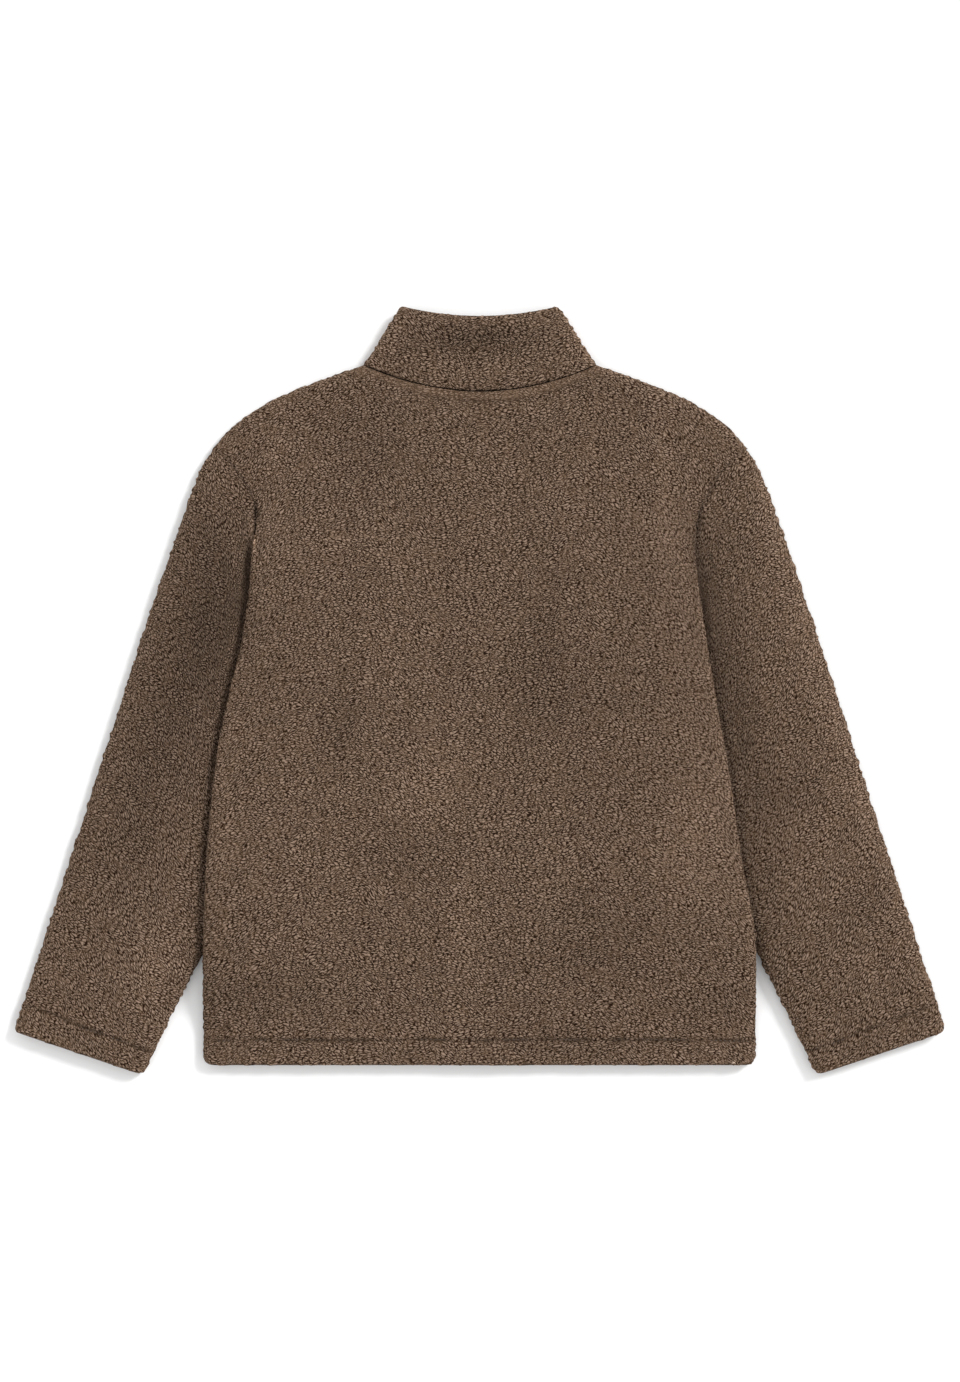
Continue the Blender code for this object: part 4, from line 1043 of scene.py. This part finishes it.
def fleece_material(name):
    """Curly pile: pits are darkened with painted shade, curls are light, and the curls lie two ways in
    soft patches. The colour is also multiplied by the random tone and by the stored nap, painted shade
    and painted sheen.
    """
    made, tree, shader = new_material(name)
    place = read_attribute(tree, "cut", "Vector")
    flow = place
    for cells, amount in WANDERS:
        flow = warped(tree, flow, cells, amount)
    lay_share = centred(tree, noise_node(tree, place, LAY_CELLS, 1.0, flat=True), LAY_EDGE, 0.5)
    first, second = (curl_height(tree, flow, turn) for turn in LAYS)
    flatness = math_node(tree, "MULTIPLY", read_attribute(tree, "pressed"), PRESSED_FLAT)
    relief = mix_value(tree, flatness, mix_value(tree, lay_share, first, second), PRESSED_HEIGHT)
    coarse = math_node(tree, "MULTIPLY", read_attribute(tree, "pile"), PILE_SHARE)
    fine = math_node(tree, "MULTIPLY", relief, 1 - PILE_SHARE)
    height = math_node(tree, "ADD", coarse, fine, clamp=True)
    patches = noise_node(tree, place, TONE_CELLS, 2.0, 0.5, TONE_BEND, True)
    tone_and_shade = scaled(tree, patches, TONE, 1 - TONE / 2)
    # The random tone times the stored nap, painted shade and painted sheen
    tone_and_shade = math_node(tree, "MULTIPLY", tone_and_shade, read_attribute(tree, "nap_and_shade"))
    look = {
        "Base Color": mix_colour(tree, 1.0, pile_colour_with_pit_shade(tree, height), tone_and_shade, "MULTIPLY"),
        "Roughness": FLEECE_ROUGH,
        "Specular IOR Level": FLEECE_SHINE,
        "Sheen Weight": SHEEN,
        "Sheen Roughness": SHEEN_ROUGH,
        "Sheen Tint": SHEEN_TINT,
    }
    feed(tree, shader, look)
    add_bump(tree, shader, relief, *FLEECE_BUMP)
    return made


def metal_material():
    made, tree, shader = new_material("dull_nickel")
    wear = noise_node(tree, object_place(tree), WEAR_CELLS, 3.0, 0.6)
    rough = scaled(tree, wear, WEAR_ROUGH, METAL_ROUGH)
    colour = mix_colour(tree, wear, METAL_DARK, METAL_LIGHT)
    feed(tree, shader, {"Base Color": colour, "Roughness": rough, "Metallic": 1.0})
    return made


def speckled_material(name, cells, dark, light, look):
    """A dull material whose colour varies in specks, for the threads and the floor."""
    made, tree, shader = new_material(name)
    speck = noise_node(tree, object_place(tree), cells)
    feed(tree, shader, {"Base Color": mix_colour(tree, speck, dark, light), **look})
    return made


def tape_material():
    made, tree, shader = new_material("zip_tape_weave")
    weave = {"Vector": object_place(tree), "Scale": WEAVE_CELLS, "Distortion": WEAVE_BEND}
    wave = new_node(tree, "TexWave", weave, bands_direction="DIAGONAL").outputs["Fac"]
    colour = mix_colour(tree, wave, TAPE_DARK, TAPE_LIGHT)
    feed(tree, shader, {"Base Color": colour, "Roughness": TAPE_ROUGH})
    add_bump(tree, shader, wave, *TAPE_BUMP)
    return made


# Zip and threads

BOX_CORNERS = np.array([(x, y, z) for z in (-1, 1) for y in (-1, 1) for x in (-1, 1)], float)
BOX_FACES = [(0, 2, 3, 1), (4, 5, 7, 6), (0, 1, 5, 4), (2, 6, 7, 3), (0, 4, 6, 2), (1, 3, 7, 5)]


def boxes_mesh(name, boxes, finishes, slots):
    """One mesh from many (centre, half size) boxes, with a material slot for each."""
    points, faces = [], []
    for number, (centre, half) in enumerate(boxes):
        points.append(np.asarray(centre) + BOX_CORNERS * np.asarray(half))
        faces += [tuple(corner + 8 * number for corner in face) for face in BOX_FACES]
    made = add_mesh(name, np.concatenate(points).tolist(), faces, finishes)
    made.data.polygons.foreach_set("material_index", np.repeat(slots, 6).astype(np.int32))
    return made


def make_zip(tape, metal):
    """Two tapes, and two rows of moulded teeth that mesh on the centre line."""
    low = np.array([TAPE_INNER, ZIP_BOTTOM_Y, TAPE_LOW])
    high = np.array([TAPE_HALF, ZIP_TOP_Y, TAPE_HIGH])
    half = (high - low) / 2 * (1, 1, TAPE_THIN)
    boxes = [((low + high) / 2 * (sign, 1, 1), half) for sign in (-1, 1)]
    count = int((ZIP_TOP_Y - ZIP_BOTTOM_Y - TOOTH_END) / TOOTH_PITCH * 2)
    tooth_z = (CHAIN_LOW + TAPE_HIGH) / 2 - TOOTH_SINK
    for i in range(count):
        sign = -1 if i % 2 else 1
        y = ZIP_BOTTOM_Y + TOOTH_START + i * TOOTH_PITCH / 2
        boxes.append(((sign * TOOTH_X, y, tooth_z), TOOTH_HALF))
    return boxes_mesh("zip_teeth", boxes, [tape, metal], [0, 0] + [1] * count)


def make_stitches(name, runs, stitch, finish):
    """Stitches along lines, each a short bent thread that dips into the pile at its ends."""
    ring = [(math.cos(a), math.sin(a)) for a in np.linspace(0, 2 * math.pi, THREAD_SIDES, endpoint=False)]
    points, faces = [], []
    for run in runs:
        steps = np.linalg.norm(np.diff(run, axis=0), axis=1)
        along = np.concatenate([[0], np.cumsum(steps)])
        for start in np.arange(0, along[-1] - stitch, stitch + STITCH_GAP):
            at = start + stitch * np.array(BEND_AT)
            centres = np.stack([np.interp(at, along, run[:, k]) for k in range(3)], axis=1)
            centres[:, 2] -= run_way(run) * THREAD * np.array(BEND_DOWN)
            forward = centres[-1] - centres[0]
            forward /= np.linalg.norm(forward)
            side = np.cross(forward, (0, 0, 1))
            side /= np.linalg.norm(side)
            up = np.cross(side, forward)
            base, last = len(points), len(points) + THREAD_SIDES * (len(centres) - 1)
            for centre in centres:
                points += [tuple(centre + THREAD * (c * side + d * up)) for c, d in ring]
            for row in range(base, last, THREAD_SIDES):
                for k in range(THREAD_SIDES):
                    a, b = row + k, row + (k + 1) % THREAD_SIDES
                    faces.append((a, b, b + THREAD_SIDES, a + THREAD_SIDES))
            faces.append(range(base + THREAD_SIDES - 1, base - 1, -1))
            faces.append(range(last, last + THREAD_SIDES))
    made = add_mesh(name, points, faces, [finish])
    made.data.shade_smooth()
    return made


def run_way(run):
    """1 on the upper side of the jacket and -1 on its underside."""
    return 1 if run[:, 2].mean() > UNDERSIDE_BELOW else -1


def stitch_runs():
    """Lines of stitches: at the waist hem, under the collar and at both cuffs."""
    s = np.linspace(*BACK_RUN)
    runs = [body_panel(back_patch, s, np.full_like(s, HEM_DEPTH / BACK_RUN_LONG), (0, 1))[0]]
    s = 0.5 + np.linspace(*NECK_RUN) * (NECK_X + NECK_RUN_PAST) / (2 * SHOULDER_X)
    runs.append(body_panel(back_patch, s, 1 - BAND / length_at(back_patch, s), (0, 1))[0])
    for sign in (-1, 1):
        s = np.linspace(*SLEEVE_RUN)
        place = sleeve_patch(sign)
        t = HEM_DEPTH / length_at(place, s)
        runs += [sleeve_layer(sign, s, t, upper)[0] for upper in (True, False)]
        s = np.linspace(*FRONT_RUN)
        place = half_patch(sign, ZIP_HALF, front_neck_y)
        runs.append(body_panel(place, s, np.full_like(s, HEM_DEPTH / FRONT_RUN_LONG), (0,), 1)[0])
    return [run - run_way(run) * np.array([0, 0, STITCH_SINK]) for run in runs]


def tack_runs():
    """Short threads of the tack that fastens the hem near its right end."""
    runs = []
    for shift, slant in TACK_THREADS:
        x = TACK_X + np.array([-0.5, 0.5]) * TACK_LONG
        y = TACK_Y + shift + np.array([-slant, slant])
        z = body_top_level(x, y) - TACK_LOW
        runs.append(np.stack([x, y, z], axis=-1))
    return runs


# The whole jacket, then the studio around it


def dress():
    fleece = fleece_material("teddy_fleece")
    tape, metal = tape_material(), metal_material()
    thread = speckled_material("thread", TWIST_CELLS, THREAD_DARK, THREAD_LIGHT, THREAD_LOOK)
    pale = speckled_material("pale_thread", TWIST_CELLS, PALE_DARK, PALE_LIGHT, THREAD_LOOK)
    pieces = {
        "back": make_back(fleece),
        "front_left": make_front(-1, "front_left", fleece),
        "front_right": make_front(1, "front_right", fleece),
        "sleeve_left": make_sleeve(-1, "sleeve_left", fleece),
        "sleeve_right": make_sleeve(1, "sleeve_right", fleece),
        "collar": make_collar(fleece),
    }
    for node_name, piece in pieces.items():
        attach(piece, "jacket")
        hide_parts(node_name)
    teeth = make_zip(tape, metal)
    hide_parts("zip_chain")
    stitches = make_stitches("topstitching", stitch_runs(), STITCH, thread)
    tack = make_stitches("hem_tack", tack_runs(), TACK_LONG * TACK_STITCH, pale)
    for piece, slot in ((teeth, "zip_tape"), (stitches, "fleece"), (tack, "fleece")):
        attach(piece, "jacket")
    for name in ("zip_slider", "zip_pull"):
        node_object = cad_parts[name]
        node_object.data.materials.clear()
        node_object.data.materials.append(metal)


def make_floor():
    corners = [(x * FLOOR_HALF, y * FLOOR_HALF, 0) for x, y in ((-1, -1), (1, -1), (1, 1), (-1, 1))]
    look = {"Roughness": 1.0, "Specular IOR Level": 0.0}
    finish = speckled_material("pale_floor", SPECK_CELLS, FLOOR_DARK, FLOOR_LIGHT, look)
    floor = add_mesh("floor", corners, [(0, 1, 2, 3)], [finish])
    floor.location.z = -FLOOR_DROP


def light_and_view():
    """The sky, a soft key light from the upper right, and the camera overhead."""
    scene = bpy.context.scene
    world = bpy.data.worlds.new("studio")
    world.use_nodes = True
    tree = world.node_tree
    way = new_node(tree, "SeparateXYZ", {0: new_node(tree, "TexCoord", {}).outputs["Generated"]})
    height = math_node(tree, "ABSOLUTE", way.outputs["Z"])
    glow = scaled(tree, height, SKY_TOP - SKY_SIDE, SKY_SIDE)
    feed(tree, tree.nodes["Background"], {"Color": (1.0, 1.0, 1.0), "Strength": glow})
    scene.world = world
    key = bpy.data.lights.new("key", "SUN")
    key.energy = KEY
    key.angle = math.radians(KEY_ANGLE)
    add_object("key", key).rotation_euler = Vector(KEY_WAY).to_track_quat("Z", "Y").to_euler()
    camera = bpy.data.cameras.new("camera")
    camera.lens, camera.sensor_width, camera.clip_end = LENS, FILM, CLIP_END
    scene.camera = add_object("camera", camera)
    scene.camera.location = (0.0, VIEW_Y, VIEW_LEVEL + VIEW_HIGH * LENS / FILM)
    scene.view_settings.view_transform = "Standard"


dress()
make_floor()
light_and_view()
